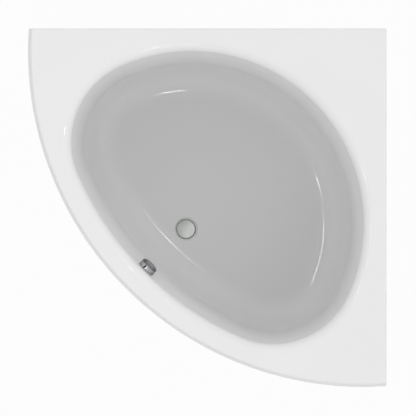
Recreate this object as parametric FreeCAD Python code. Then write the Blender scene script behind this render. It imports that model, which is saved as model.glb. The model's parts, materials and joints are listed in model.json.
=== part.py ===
import FreeCAD, Part
import math
import os

# Acrylic corner bath with its frame, levelling feet, curved front panel and pop-up waste.
#
# Row frame: z = 0 is the bathroom floor.  The two walls are the planes x = +half_side and
# y = +half_side, the room corner is where they meet, and the bowed front faces -x -y.
#
# Most of the bath is mirror-symmetric about the diagonal of the room corner, so it is drawn
# in a diagonal frame: x runs from the room corner along the diagonal, y across it (positive
# towards the +x wall), z up.  from_diagonal() turns such a shape into the row frame.

# ---------------------------------------------------------------- rim, seen from above
side = 1400.0               # along each wall
bow_inset = 90.0            # the bow's centre lies this far in from both walls
rim_height = 580.0          # floor to the top of the rim, feet at mid travel
lip_depth = 40.0            # turned-down edge round the rim
lip_flare_width = 12.0      # the bow's lip leans out by this much
lip_flare_height = 22.0     # over this height
rim_edge_radius = 5.0
rim_corner_radius = 6.0

# ---------------------------------------------------------------- basin
back_apex = 404.0           # room corner to the basin's back edge, on the diagonal
back_radius = 674.0         # the edge is a closed curve of three tangent radii
end_radius = 323.0
front_radius = 1242.0
front_rim_width = 98.0      # basin's edge to the bow, on the diagonal
floor_clearance = 150.0     # under the basin's floor, for the trap
roll_radius = 38.0          # rim rolling over into the wall
wall_draft = 9.0            # degrees off vertical
floor_radius = 135.0        # wall sweeping into the floor

acrylic = 4.0               # sheet thickness
backing = 4.0               # glass-fibre layer sprayed on its back
bond_gap = 0.3              # clearance between curved faces that lie on each other
seat_gap = 0.3              # the same between separate moulded parts
running_gap = 0.1           # radial play of a shaft in its bore

# ---------------------------------------------------------------- timber and steel
board_thickness = 16.0
board_margin = 5.0          # board inside the flat floor
board_notch = 120.0         # open slot in the board for the waste
batten_width = 34.0
batten_end_gap = 60.0       # battens stop short of the rim's ends
front_batten_end_angle = 6.0
rail_size = 30.0
rail_wall = 2.0
rear_rail_setback = 137.2   # rear rail to the back edge of the flat floor
front_rail_setback = 100.0  # front rail to the waste
rail_overhang = 25.0        # rail past the centre of its foot
foot_edge_offset = 75.0     # rail feet stand this far inside the basin's edge
post_size = 25.0
post_wall = 2.0
post_angle = 20.0           # degrees off the diagonal, about the bow's centre
post_bow_inset = 48.0       # post centre inside the bow
post_bottom = 60.0
post_plate = 3.0
post_plate_size = 60.0
plug_depth = 15.0
brace_width = 25.0
brace_thickness = 5.0
brace_tab_height = 45.0
brace_rail_inset = 50.0     # brace bolt inside the rail's foot
screw_radius = 2.0
screw_length = 18.0
screw_head_radius = 4.5
screw_head_height = 2.5

# ---------------------------------------------------------------- levelling feet
rod_radius = 6.0
rod_top_over_rail = 22.0
rod_post_top = 95.0         # top of the rim feet's rods
pad_radius = 26.0
pad_height = 20.0
pad_neck_radius = 11.0
pad_neck_height = 12.0
nut_flats = 19.0
nut_height = 8.0

# ---------------------------------------------------------------- wall brackets
bracket_width = 70.0
bracket_height = 62.0
bracket_reach = 44.0
bracket_thickness = 3.0
bracket_hole_radius = 3.5
bracket_hole_spacing = 40.0
bracket_hole_drop = 38.0
bracket_near = 330.0        # towards the room corner, from the wall's middle
bracket_far = 430.0         # the other way

# ---------------------------------------------------------------- front panel
panel_thickness = 4.0
panel_gap = 1.0             # panel behind the lip
panel_tuck = 15.0           # panel's top edge above the bottom of the lip
panel_floor_gap = 6.0
panel_wall_gap = 6.0        # panel's ends to the walls
panel_flange = 10.0         # inward return along its bottom edge
panel_bracket_low = 130.0   # over the raised rod of the rim foot
panel_bracket_high = 430.0
panel_bracket_width = 30.0

# ---------------------------------------------------------------- waste
waste_setback = 52.2        # waste centre to the front edge of the flat floor
recess_depth = 3.0
recess_radius = 42.0
recess_edge = 6.0
waste_hole_radius = 26.0
flange_radius = 39.5
flange_thickness = 2.0
flange_tube_radius = 25.0
flange_tube_wall = 2.5
flange_tube_length = 28.0
gasket_thin = 1.0
gasket_thick = 3.0
boss_radius = 9.0
spoke_width = 3.0
spoke_height = 4.0
cap_radius = 35.0
cap_edge = 2.0
cap_crown = 3.5
cap_lift = 9.0              # plug travel, closed to open
seal_inner = 25.5
seal_outer = 31.0
stem_radius = 4.0
stem_length = 50.0
body_radius = 33.0
body_wall = 3.0
body_flange_radius = 42.0
body_flange = 4.0
body_height = 48.0
neck_radius = 20.0
neck_wall = 3.0
neck_length = 22.0
lever_arm = 24.0
lever_width = 8.0
lever_thickness = 4.0
lever_hub_radius = 4.0
lever_pin_radius = 2.0

# ---------------------------------------------------------------- trap and outlet
trap_radius = 46.0
trap_wall = 3.0
trap_floor_gap = 10.0
trap_neck_gap = 5.7         # trap's top below the waste's neck
collar_gap = 4.0            # nut and collar below the waste body
dip_radius = 19.0
dip_wall = 2.0
dip_end_over_floor = 17.0
socket_length = 42.0
socket_wall = 3.7
nut_wall = 4.5
nut_length = 18.0
nut_grips = 12
nut_grip_width = 4.0
nut_grip_height = 1.5
outlet_radius = 20.0        # 40 mm waste pipe
outlet_wall = 2.0
outlet_length = 220.0
outlet_relief = 1.5         # pipe under size, except at its spigot end
spigot_length = 60.0

# ---------------------------------------------------------------- overflow
overflow_drop = 90.0        # rim to the knob's centre
overflow_hole_radius = 26.0
wall_seat = 0.6             # flat housing on the slightly curved wall
housing_radius = 35.0
housing_wall = 3.0
housing_depth = 20.4
slot_width = 6.0
slot_length = 14.0
slot_angle = -16.6          # from the top, towards the -y side of the diagonal frame
inlet_width = 17.0
inlet_length = 13.0
inlet_angles = (140.0, 180.0, 220.0)
knob_gap = 0.3
knob_edge = 2.7
knob_chamfer = 6.0
knob_flutes = 30
flute_radius = 2.2
flute_depth = 0.7
spindle_radius = 6.0
hub_wall = 3.0
hub_end = 38.0              # hub, spindle and pulley, measured behind the wall's face
pulley_radius = 16.0
pulley_thickness = 4.0
cup_radius = 30.0
cup_wall = 3.0
cup_depth = 53.0
cup_flange_radius = 36.0
spider_thickness = 4.0
pulley_gap = 0.3
hose_setback = 32.0         # hose behind the wall's face
collar_drop = 14.0          # hose's end below the cup

# ---------------------------------------------------------------- overflow hose
hose_bore = 14.5
hose_valley = 16.2
hose_crest = 18.5
rib_pitch = 7.0
cuff_length = 24.0          # plain ends under the clamps
hose_bend = 95.0
spigot_gap = 0.3
spigot_wall = 2.2
spigot_reach = 22.0
collar_length = 18.0
gland_offset = 26.0         # cable glands beside the hose
gland_back = 7.7            # and behind it
gland_radius = 5.0
gland_bore = 2.5
gland_reach = 30.0
clamp_wall = 1.6
clamp_width = 10.0

# ---------------------------------------------------------------- worked out from the above
half_side = side / 2
root_two = math.sqrt(2)
bow_radius = side - bow_inset
bow_centre = bow_inset * root_two            # on the diagonal, from the room corner
draft = math.radians(wall_draft)
flare_angle = math.atan2(lip_flare_width, lip_flare_height)
bow_lip = acrylic / math.cos(flare_angle)    # the leaning lip's thickness, measured level
basin_floor = floor_clearance
build_up = acrylic + bond_gap + backing      # the whole laminate
deck_edge = roll_radius * math.cos(draft)    # flat rim ends this far outside the basin's edge
wall_top = rim_height - roll_radius * (1 - math.sin(draft))
wall_foot = basin_floor + floor_radius * (1 - math.sin(draft))
wall_run = (wall_top - wall_foot) * math.tan(draft)
floor_edge = wall_run + floor_radius * math.cos(draft)   # flat floor's edge, inside the basin's
front_apex = bow_centre + bow_radius - front_rim_width

board_top = basin_floor - build_up
rail_top = board_top - board_thickness
rail_bottom = rail_top - rail_size
batten_top = rim_height - build_up
lip_bottom = rim_height - lip_depth
bracket_places = (bracket_near, -bracket_far)
panel_bracket_heights = (panel_bracket_low, panel_bracket_high)

waste_at = front_apex - floor_edge - waste_setback
front_rail_at = waste_at - front_rail_setback
rear_rail_at = back_apex + floor_edge + rear_rail_setback

# The basin's edge: a back arc and a front arc centred on the diagonal, and an end arc on
# each side that touches both from inside.
back_centre = back_apex + back_radius
front_centre = front_apex - front_radius
back_reach = back_radius - end_radius
front_reach = front_radius - end_radius
end_along = (front_reach ** 2 - back_reach ** 2 + back_centre ** 2 - front_centre ** 2) / (
    2 * (back_centre - front_centre))
end_across = math.sqrt(back_reach ** 2 - (end_along - back_centre) ** 2)
back_turn = math.degrees(math.atan2(end_across, end_along - back_centre))
front_turn = math.degrees(math.atan2(end_across, end_along - front_centre))

# Each stretch: centre along, centre across, radius, first angle, last angle.
basin_arcs = (
    (front_centre, 0.0, front_radius, -front_turn, front_turn),
    (end_along, end_across, end_radius, front_turn, back_turn),
    (back_centre, 0.0, back_radius, back_turn, 360 - back_turn),
    (end_along, -end_across, end_radius, -back_turn, -front_turn),
)

V = FreeCAD.Vector
UP = V(0, 0, 1)
ALONG = V(1, 0, 0)
ACROSS = V(0, 1, 0)
ORIGIN = V(0, 0, 0)
nodes = {}


# ================================================================ helpers
def from_diagonal(shape):
    """Moves a shape from the diagonal frame to the row frame."""
    moved = shape.copy()
    moved.rotate(ORIGIN, UP, 225)
    moved.translate(V(half_side, half_side, 0))
    return moved


def fused(first, *others):
    """One solid from pieces that touch or overlap, without the seams between them."""
    return first.multiFuse(list(others)).removeSplitter()


def group(shapes):
    return Part.makeCompound(shapes)


def mirrored(shape):
    """The same shape on the other side of the diagonal."""
    return shape.mirror(ORIGIN, ACROSS)


def arc_edge(cx, cy, radius, first, last, z):
    points = []
    for angle in (first, (first + last) / 2, last):
        turn = math.radians(angle)
        points.append(V(cx + radius * math.cos(turn), cy + radius * math.sin(turn), z))
    return Part.Arc(*points).toShape()


def line(a, b):
    return Part.LineSegment(a, b).toShape()


def turned(outline, centre=ORIGIN, direction=UP, degrees=360):
    """Solid turned from (radius, height) points about an axis."""
    points = [V(radius, 0, height) for radius, height in outline]
    face = Part.Face(Part.makePolygon(points + points[:1]))
    solid = face.revolve(ORIGIN, UP, degrees)
    solid.Placement = FreeCAD.Placement(centre, FreeCAD.Rotation(UP, direction))
    return solid


def tube(outer, inner, start, direction, length):
    solid = Part.makeCylinder(outer, length, start, direction)
    if inner > 0:
        solid = solid.cut(Part.makeCylinder(inner, length, start, direction))
    return solid


def centred_box(x, y, z, centre):
    """Box of the given sizes, centred in plan and standing on centre.z."""
    return Part.makeBox(x, y, z, V(centre.x - x / 2, centre.y - y / 2, centre.z))


def hexagon(flats, height, centre, bore):
    corner = flats / 2 / math.cos(math.pi / 6)
    points = []
    for k in range(7):
        turn = math.radians(60 * k)
        points.append(centre + V(corner * math.cos(turn), corner * math.sin(turn), 0))
    solid = Part.Face(Part.makePolygon(points)).extrude(V(0, 0, height))
    return solid.cut(Part.makeCylinder(bore, height, centre))


def screw(seat, direction):
    """Pan-head screw: its head stands on the seat, its shank goes along the direction."""
    head = Part.makeCylinder(screw_head_radius, screw_head_height, seat, direction * -1)
    shank = Part.makeCylinder(screw_radius, screw_length, seat, direction)
    return head.fuse(shank)


def screw_hole(seat, direction):
    radius = screw_radius + running_gap
    return Part.makeCylinder(radius, screw_length + running_gap, seat, direction)


def drilled(shape, holes):
    return shape.cut(group(holes))


# ================================================================ rim and basin
def rim_wire(z, wall_inset, radius, corner):
    """The rim's outline: two straight walls and the bow, with rounded corners."""
    wall = half_side - wall_inset
    centre = half_side - bow_inset
    inner = wall - corner
    tip = centre - math.sqrt((radius - corner) ** 2 - (inner - centre) ** 2)
    outward = V(tip - centre, inner - centre, 0)
    outward.normalize()
    tip_mid = outward + V(0, 1, 0)
    tip_mid.normalize()
    bow_end = V(centre, centre, z) + outward * radius
    bow_mid = V(centre - radius / root_two, centre - radius / root_two, z)
    tip_point = V(tip, inner, z) + tip_mid * corner
    room_point = V(inner + corner / root_two, inner + corner / root_two, z)
    swap = lambda p: V(p.y, p.x, p.z)
    top_left = V(tip, wall, z)
    top_right = V(inner, wall, z)
    return Part.Wire([
        line(top_right, top_left),
        Part.Arc(top_left, tip_point, bow_end).toShape(),
        Part.Arc(bow_end, bow_mid, swap(bow_end)).toShape(),
        Part.Arc(swap(bow_end), swap(tip_point), swap(top_left)).toShape(),
        line(swap(top_left), swap(top_right)),
        Part.Arc(swap(top_right), room_point, top_right).toShape(),
    ])


def bow_at(z, inset):
    """Radius of the bow's lip at a height: it leans in over the flare."""
    above = max(0.0, z - (rim_height - lip_flare_height))
    return bow_radius - inset - lip_flare_width * above / lip_flare_height


def rim_block(z_bottom, z_top, wall_inset, lean_inset, corner):
    """Solid inside the rim's outline, from one height to another."""
    z_flare = rim_height - lip_flare_height
    foot = rim_wire(z_bottom, wall_inset, bow_at(z_bottom, lean_inset), corner)
    lower = Part.Face(foot).extrude(V(0, 0, z_flare - z_bottom))
    upper = Part.makeLoft([
        rim_wire(z_flare, wall_inset, bow_at(z_flare, lean_inset), corner),
        rim_wire(z_top, wall_inset, bow_at(z_top, lean_inset), corner),
    ], True, True)
    return fused(lower, upper)


def basin_wire(offset, z):
    """The basin's edge, drawn inwards by an offset."""
    return Part.Wire([arc_edge(cx, cy, radius - offset, first, last, z)
                      for cx, cy, radius, first, last in basin_arcs])


def basin_block(offset, z_bottom, z_top):
    return Part.Face(basin_wire(offset, z_bottom)).extrude(V(0, 0, z_top - z_bottom))


def section_side(radius, depth):
    """Rim roll, wall and floor sweep as three edges, a depth below the finished face."""
    def at(inwards, z):
        return V(radius - inwards, 0, z)

    def on_arc(inwards, z, reach, degrees):
        turn = math.radians(degrees)
        return at(inwards + reach * math.cos(turn), z + reach * math.sin(turn))

    roll = (-deck_edge, rim_height - roll_radius, roll_radius - depth)
    sweep = (floor_edge, basin_floor + floor_radius, floor_radius + depth)
    roll_points = [on_arc(*roll, a) for a in (90, (90 + wall_draft) / 2, wall_draft)]
    sweep_points = [on_arc(*sweep, a) for a in (180 + wall_draft, 225 + wall_draft / 2, 270)]
    return [
        Part.Arc(*roll_points).toShape(),
        line(roll_points[-1], sweep_points[0]),
        Part.Arc(*sweep_points).toShape(),
    ], roll_points[0], sweep_points[-1]


def basin_skin(upper, lower):
    """Basin wall and floor between two depths below the finished face."""
    pieces = []
    for cx, cy, radius, first, last in basin_arcs:
        top_edges, top_start, top_end = section_side(radius, upper)
        low_edges, low_start, low_end = section_side(radius, lower)
        edges = top_edges + low_edges + [line(top_start, low_start), line(top_end, low_end)]
        face = Part.Face(Part.Wire(Part.__sortEdges__(edges)))
        face.rotate(ORIGIN, UP, first)
        face.translate(V(cx, cy, 0))
        pieces.append(face.revolve(V(cx, cy, 0), UP, last - first))
    plate = basin_block(floor_edge, basin_floor - lower, basin_floor - upper)
    outer = recess_radius + recess_edge + lower
    plate = plate.cut(Part.makeCylinder(outer, 3 * build_up, V(waste_at, 0, board_top - build_up)))
    dish = turned([
        (outer, basin_floor - upper),
        (recess_radius + recess_edge, basin_floor - upper),
        (recess_radius, basin_floor - recess_depth - upper),
        (waste_hole_radius, basin_floor - recess_depth - upper),
        (waste_hole_radius, basin_floor - recess_depth - lower),
        (recess_radius, basin_floor - recess_depth - lower),
        (recess_radius + recess_edge, basin_floor - lower),
        (outer, basin_floor - lower),
    ], V(waste_at, 0, 0))
    return from_diagonal(fused(pieces[0], *pieces[1:], plate, dish))


def overflow_point():
    """Where the knob's axis meets the basin's front wall, in the diagonal frame."""
    z = rim_height - overflow_drop
    return V(front_apex - (wall_top - z) * math.tan(draft), 0, z)


overflow_axis = V(-math.cos(draft), 0, math.sin(draft))    # out of the wall, into the basin
overflow_up = V(math.sin(draft), 0, math.cos(draft))


def from_overflow(shape):
    """Moves a shape from the overflow's own frame (z out of the wall, x up it)."""
    frame = FreeCAD.Matrix()
    columns = (overflow_up, ACROSS, overflow_axis, overflow_point())
    for number, column in enumerate(columns):
        for row, value in enumerate((column.x, column.y, column.z)):
            setattr(frame, "A%d%d" % (row + 1, number + 1), value)
    return shape.transformed(frame)


def overflow_hole():
    reach = 4 * build_up
    hole = Part.makeCylinder(overflow_hole_radius, 2 * reach, V(0, 0, -reach))
    return from_diagonal(from_overflow(hole))


def make_shell():
    block = rim_block(lip_bottom, rim_height, 0.0, 0.0, rim_corner_radius)
    top_edges = [e for e in block.Edges if e.BoundBox.ZMin > rim_height - 0.01]
    block = block.makeFillet(rim_edge_radius, top_edges)
    corner = max(rim_corner_radius - acrylic, 1.0)
    hollow = rim_block(lip_bottom - 1, rim_height - acrylic, acrylic, bow_lip, corner)
    hole = from_diagonal(basin_block(-deck_edge, lip_bottom - 1, rim_height + 1))
    deck = block.cut(hollow).cut(hole)
    shell = fused(deck, basin_skin(0.0, acrylic))
    nodes["acrylic_shell"] = shell.cut(overflow_hole())

    upper = acrylic + bond_gap
    z_top = rim_height - upper
    inset = upper / math.cos(flare_angle)
    outline = rim_wire(z_top - backing, upper, bow_at(z_top, inset), corner)
    deck = Part.Face(outline).extrude(V(0, 0, backing)).cut(hole)
    skin = fused(deck, basin_skin(upper, build_up))
    nodes["glassfibre_backing"] = skin.cut(overflow_hole())


# ================================================================ board and battens
def half_width(along, offset):
    """Half the width of the basin's edge, drawn in by an offset, at a place on the diagonal."""
    from_end = along - end_along
    reach = end_radius - offset
    if abs(from_end) < reach:
        rise = math.sqrt(reach ** 2 - from_end ** 2)
        turn = math.degrees(math.atan2(rise, from_end))
        if front_turn <= turn <= back_turn:
            return end_across + rise
    if along < end_along:
        return math.sqrt((back_radius - offset) ** 2 - (along - back_centre) ** 2)
    return math.sqrt((front_radius - offset) ** 2 - (along - front_centre) ** 2)


rear_foot_across = half_width(rear_rail_at, foot_edge_offset)
front_foot_across = half_width(front_rail_at, foot_edge_offset)
rails = {"rear": (rear_rail_at, rear_foot_across), "front": (front_rail_at, front_foot_across)}


def rail_screw_seats(name):
    """Screws through a rail into the board: their heads under the rail."""
    along, across = rails[name]
    board_half = half_width(along, floor_edge + board_margin)
    return [V(along, k * board_half * 0.8, rail_bottom) for k in (-1, -0.5, 0.5, 1)]


def make_board():
    board = basin_block(floor_edge + board_margin, rail_top, board_top)
    notch = Part.makeBox(front_apex, board_notch, board_thickness,
                         V(waste_at - board_notch / 2, -board_notch / 2, rail_top))
    board = board.cut(notch)
    seats = rail_screw_seats("rear") + rail_screw_seats("front")
    pilot = screw_radius + running_gap
    holes = [Part.makeCylinder(pilot, board_thickness / 2, V(p.x, p.y, rail_top)) for p in seats]
    nodes["base_board"] = from_diagonal(drilled(board, holes))


def bracket_frames():
    """Name, place on the wall and turn of each wall bracket, drawn for the +x wall."""
    frames = []
    for wall in ("x", "y"):
        for number, place in enumerate(bracket_places):
            frames.append((wall, number + 1, place))
    return frames


def on_wall(shape, wall):
    """A shape drawn at the +x wall, moved to the wall that is asked for."""
    if wall == "x":
        return shape
    return shape.mirror(ORIGIN, V(1, -1, 0))


def bracket_screw_seats(place):
    inside = half_side - build_up - batten_width / 2
    z = lip_bottom - bracket_thickness
    return [V(inside, place + k * bracket_hole_spacing / 2, z) for k in (-1, 1)]


def make_battens():
    length_end = half_side - batten_end_gap
    outer = half_side - build_up
    batten = Part.makeBox(batten_width, 2 * length_end, batten_top - lip_bottom,
                          V(outer - batten_width, -length_end, lip_bottom))
    holes = []
    for place in bracket_places:
        holes += [screw_hole(seat, UP) for seat in bracket_screw_seats(place)]
    batten = drilled(batten, holes)
    for wall in ("x", "y"):
        nodes["batten_%s_wall" % wall] = on_wall(batten, wall)

    outer = bow_at(batten_top, build_up / math.cos(flare_angle)) - seat_gap
    sweep = 45 - front_batten_end_angle
    arc = turned([(outer - batten_width, lip_bottom), (outer, lip_bottom),
                  (outer, batten_top), (outer - batten_width, batten_top)],
                 ORIGIN, UP, 2 * sweep)
    arc.rotate(ORIGIN, UP, -sweep)
    arc.translate(V(bow_centre, 0, 0))
    arc = drilled(arc, [screw_hole(seat, UP) for seat in post_screw_seats()])
    nodes["front_batten"] = from_diagonal(arc)


# ================================================================ rails, posts, braces
def on_post(shape, sign):
    """A shape drawn on the diagonal about the bow's centre, swung out to a post."""
    swung = shape.copy()
    swung.translate(V(bow_centre, 0, 0))
    swung.rotate(V(bow_centre, 0, 0), UP, sign * post_angle)
    return swung


post_radius = bow_radius - post_bow_inset      # post's centre from the bow's centre


def post_screw_seats():
    """Screws up through the posts' top plates into the front batten."""
    seats = []
    for sign in (-1, 1):
        for k in (-1, 1):
            reach = k * (post_plate_size / 2 - 2 * screw_head_radius)
            point = Part.Vertex(post_batten_radius(), reach, lip_bottom - post_plate)
            placed = on_post(point, sign)
            seats.append(placed.Point)
    return seats


def post_batten_radius():
    outer = bow_at(batten_top, build_up / math.cos(flare_angle)) - seat_gap
    return outer - batten_width / 2


def rod_places():
    """Every foot: name, place in plan, top of its rod."""
    places = []
    for name, (along, across) in rails.items():
        for sign, hand in ((-1, "left"), (1, "right")):
            top = rail_top + rod_top_over_rail
            places.append(("%s_%s" % (name, hand), V(along, sign * across, 0), top))
    for sign, hand in ((-1, "left"), (1, "right")):
        centre = on_post(Part.Vertex(post_radius, 0, 0), sign).Point
        places.append(("rim_%s" % hand, centre, rod_post_top))
    return places


def brace_bolt(sign):
    return V(front_rail_at, sign * (front_foot_across - brace_rail_inset), 0)


def make_rails():
    for name, (along, across) in rails.items():
        half = across + rail_overhang
        box = Part.makeBox(rail_size, 2 * half, rail_size,
                           V(along - rail_size / 2, -half, rail_bottom))
        inner = rail_size - 2 * rail_wall
        hollow = Part.makeBox(inner, 2 * half, inner,
                              V(along - inner / 2, -half, rail_bottom + rail_wall))
        rail = box.cut(hollow)
        holes = [Part.makeCylinder(rod_radius + running_gap, 2 * rail_size,
                                   V(along, sign * across, rail_bottom - rail_size / 2))
                 for sign in (-1, 1)]
        holes += [Part.makeCylinder(screw_radius + running_gap, 2 * rail_size,
                                    V(seat.x, seat.y, rail_bottom - rail_size / 2))
                  for seat in rail_screw_seats(name)]
        if name == "front":
            holes += [Part.makeCylinder(screw_radius + running_gap, rail_size,
                                        brace_bolt(sign) + V(0, 0, rail_bottom - rail_size / 2))
                      for sign in (-1, 1)]
        nodes["%s_rail" % name] = from_diagonal(drilled(rail, holes))

    plugs = []
    for along, across in rails.values():
        half = across + rail_overhang
        inner = rail_size - 2 * rail_wall - 2 * seat_gap
        for sign in (-1, 1):
            cap = centred_box(rail_size, rail_wall, rail_size,
                              V(along, sign * (half + rail_wall / 2), rail_bottom))
            core = centred_box(inner, plug_depth, inner,
                               V(along, sign * (half - plug_depth / 2), rail_bottom + rail_wall + seat_gap))
            plugs.append(fused(cap, core))
    nodes["rail_end_plugs"] = from_diagonal(group(plugs))

    screws = []
    for name in rails:
        for seat in rail_screw_seats(name):
            head = Part.makeCylinder(screw_head_radius, screw_head_height, seat, V(0, 0, -1))
            shank = Part.makeCylinder(screw_radius, rail_size + board_thickness / 2 - running_gap, seat)
            screws.append(head.fuse(shank))
    nodes["rail_screws"] = from_diagonal(group(screws))


def make_posts():
    for sign, hand in ((-1, "left"), (1, "right")):
        height = lip_bottom - post_plate - post_bottom
        box = centred_box(post_size, post_size, height, V(post_radius, 0, post_bottom))
        inner = post_size - 2 * post_wall
        hollow = centred_box(inner, inner, height, V(post_radius, 0, post_bottom))
        outer_edge = max(post_radius + post_size / 2, post_batten_radius() + 2 * screw_head_radius)
        inner_edge = post_radius - post_size / 2
        plate = Part.makeBox(outer_edge - inner_edge, post_plate_size, post_plate,
                             V(inner_edge, -post_plate_size / 2, lip_bottom - post_plate))
        holes = [Part.makeCylinder(screw_radius + running_gap, 3 * post_plate, seat - V(0, 0, post_plate))
                 for seat in post_screw_seats()]
        side_bolts = [Part.makeCylinder(screw_radius + running_gap, post_size,
                                        V(post_radius - post_size, 0, z), ALONG)
                      for z in (brace_tab_z(),)]
        side_bolts += [Part.makeCylinder(screw_radius + running_gap, post_size,
                                         V(post_radius, 0, z), ALONG)
                       for z in panel_bracket_heights]
        post = fused(box.cut(hollow), plate)
        post = drilled(on_post(drilled(post, side_bolts), sign), holes)
        nodes["%s_post" % hand] = from_diagonal(post)

    plugs = []
    for sign in (-1, 1):
        inner = post_size - 2 * post_wall - 2 * seat_gap
        plug = centred_box(inner, inner, plug_depth, V(post_radius, 0, post_bottom))
        plug = plug.cut(Part.makeCylinder(rod_radius + running_gap, plug_depth,
                                          V(post_radius, 0, post_bottom)))
        plugs.append(on_post(plug, sign))
    nodes["post_end_plugs"] = from_diagonal(group(plugs))


def brace_tab_z():
    return rail_bottom - brace_thickness + brace_tab_height * 0.6


def make_braces():
    """Flat bars from under the front rail to a tab on the inner face of each post."""
    bolts = []
    for sign, hand in ((-1, "left"), (1, "right")):
        z = rail_bottom - brace_thickness
        start = brace_bolt(sign)
        goal = on_post(Part.Vertex(post_radius - post_size / 2, 0, 0), sign).Point
        run = goal - start
        turn = math.degrees(math.atan2(run.y, run.x))
        bar = Part.makeBox(run.Length + brace_width + brace_width, brace_width, brace_thickness,
                           V(-brace_width, -brace_width / 2, z))
        bar.rotate(ORIGIN, UP, turn)
        bar.translate(start)
        beyond = Part.makeBox(4 * post_size, 8 * post_size, 4 * brace_tab_height,
                              V(post_radius - post_size / 2, -4 * post_size, 0))
        bar = bar.cut(on_post(beyond, sign))
        tab = Part.makeBox(brace_thickness, brace_width, brace_tab_height,
                           V(post_radius - post_size / 2 - brace_thickness, -brace_width / 2, z))
        tab = tab.cut(Part.makeCylinder(screw_radius + running_gap, 3 * brace_thickness,
                                        V(post_radius - post_size, 0, brace_tab_z()), ALONG))
        brace = fused(bar, on_post(tab, sign))
        hole = Part.makeCylinder(screw_radius + running_gap, 3 * brace_thickness,
                                 start + V(0, 0, z - brace_thickness))
        nodes["%s_brace" % hand] = from_diagonal(brace.cut(hole))

        bolts.append(screw(start + V(0, 0, z), UP))
        seat = V(post_radius - post_size / 2 - brace_thickness, 0, brace_tab_z())
        bolts.append(on_post(screw(seat, ALONG), sign))
    nodes["brace_bolts"] = from_diagonal(group(bolts))


# ================================================================ levelling feet
def make_feet():
    nuts = []
    for name, place, top in rod_places():
        pad = turned([(0, 0), (pad_radius - 2, 0), (pad_radius, 2), (pad_radius, 6),
                      (pad_neck_radius + 2, pad_height - pad_neck_height + 3),
                      (pad_neck_radius, pad_height - pad_neck_height + 6),
                      (pad_neck_radius, pad_height), (0, pad_height)], place)
        socket = Part.makeCylinder(rod_radius + running_gap, pad_height,
                                   place + V(0, 0, pad_height - pad_neck_height))
        rod_foot = pad_height - pad_neck_height
        rod = turned([(0, rod_foot), (rod_radius, rod_foot), (rod_radius, top - 1.5),
                      (rod_radius - 1.5, top), (0, top)], place)
        nodes["foot_pad_%s" % name] = from_diagonal(pad.cut(socket))
        nodes["foot_rod_%s" % name] = from_diagonal(rod)
        bore = rod_radius + running_gap
        if name.startswith("rim"):
            seats = (post_bottom - nut_height,)
        else:
            seats = (rail_bottom - nut_height, rail_top)
        for z in seats:
            nuts.append(hexagon(nut_flats, nut_height, place + V(0, 0, z), bore))
    nodes["lock_nuts"] = from_diagonal(group(nuts))


# ================================================================ wall brackets
def make_brackets():
    screws = []
    for wall, number, place in bracket_frames():
        z = lip_bottom - bracket_thickness
        flange = Part.makeBox(bracket_reach, bracket_width, bracket_thickness,
                              V(half_side - bracket_reach, place - bracket_width / 2, z))
        plate = Part.makeBox(bracket_thickness, bracket_width, bracket_height,
                             V(half_side - bracket_thickness, place - bracket_width / 2,
                               lip_bottom - bracket_height))
        bracket = fused(flange, plate)
        holes = [Part.makeCylinder(bracket_hole_radius, 3 * bracket_thickness,
                                   V(half_side - 2 * bracket_thickness,
                                     place + k * bracket_hole_spacing / 2,
                                     lip_bottom - bracket_hole_drop), ALONG)
                 for k in (-1, 1)]
        seats = bracket_screw_seats(place)
        holes += [screw_hole(seat, UP) for seat in seats]
        nodes["wall_bracket_%s%d" % (wall, number)] = on_wall(drilled(bracket, holes), wall)
        screws += [on_wall(screw(seat, UP), wall) for seat in seats]
    screws += [from_diagonal(screw(seat, UP)) for seat in post_screw_seats()]
    nodes["batten_screws"] = group(screws)


# ================================================================ front panel
panel_outer = bow_radius - bow_lip - panel_gap
panel_inner = panel_outer - panel_thickness
panel_top = lip_bottom + panel_tuck


def panel_screws(sign):
    """Screws through the panel into its brackets, and through the brackets into a post."""
    inside = post_radius + post_size / 2 + bracket_thickness
    return [on_post(screw(V(seat, 0, z), ALONG * -1), sign)
            for z in panel_bracket_heights for seat in (panel_outer, inside)]


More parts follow.
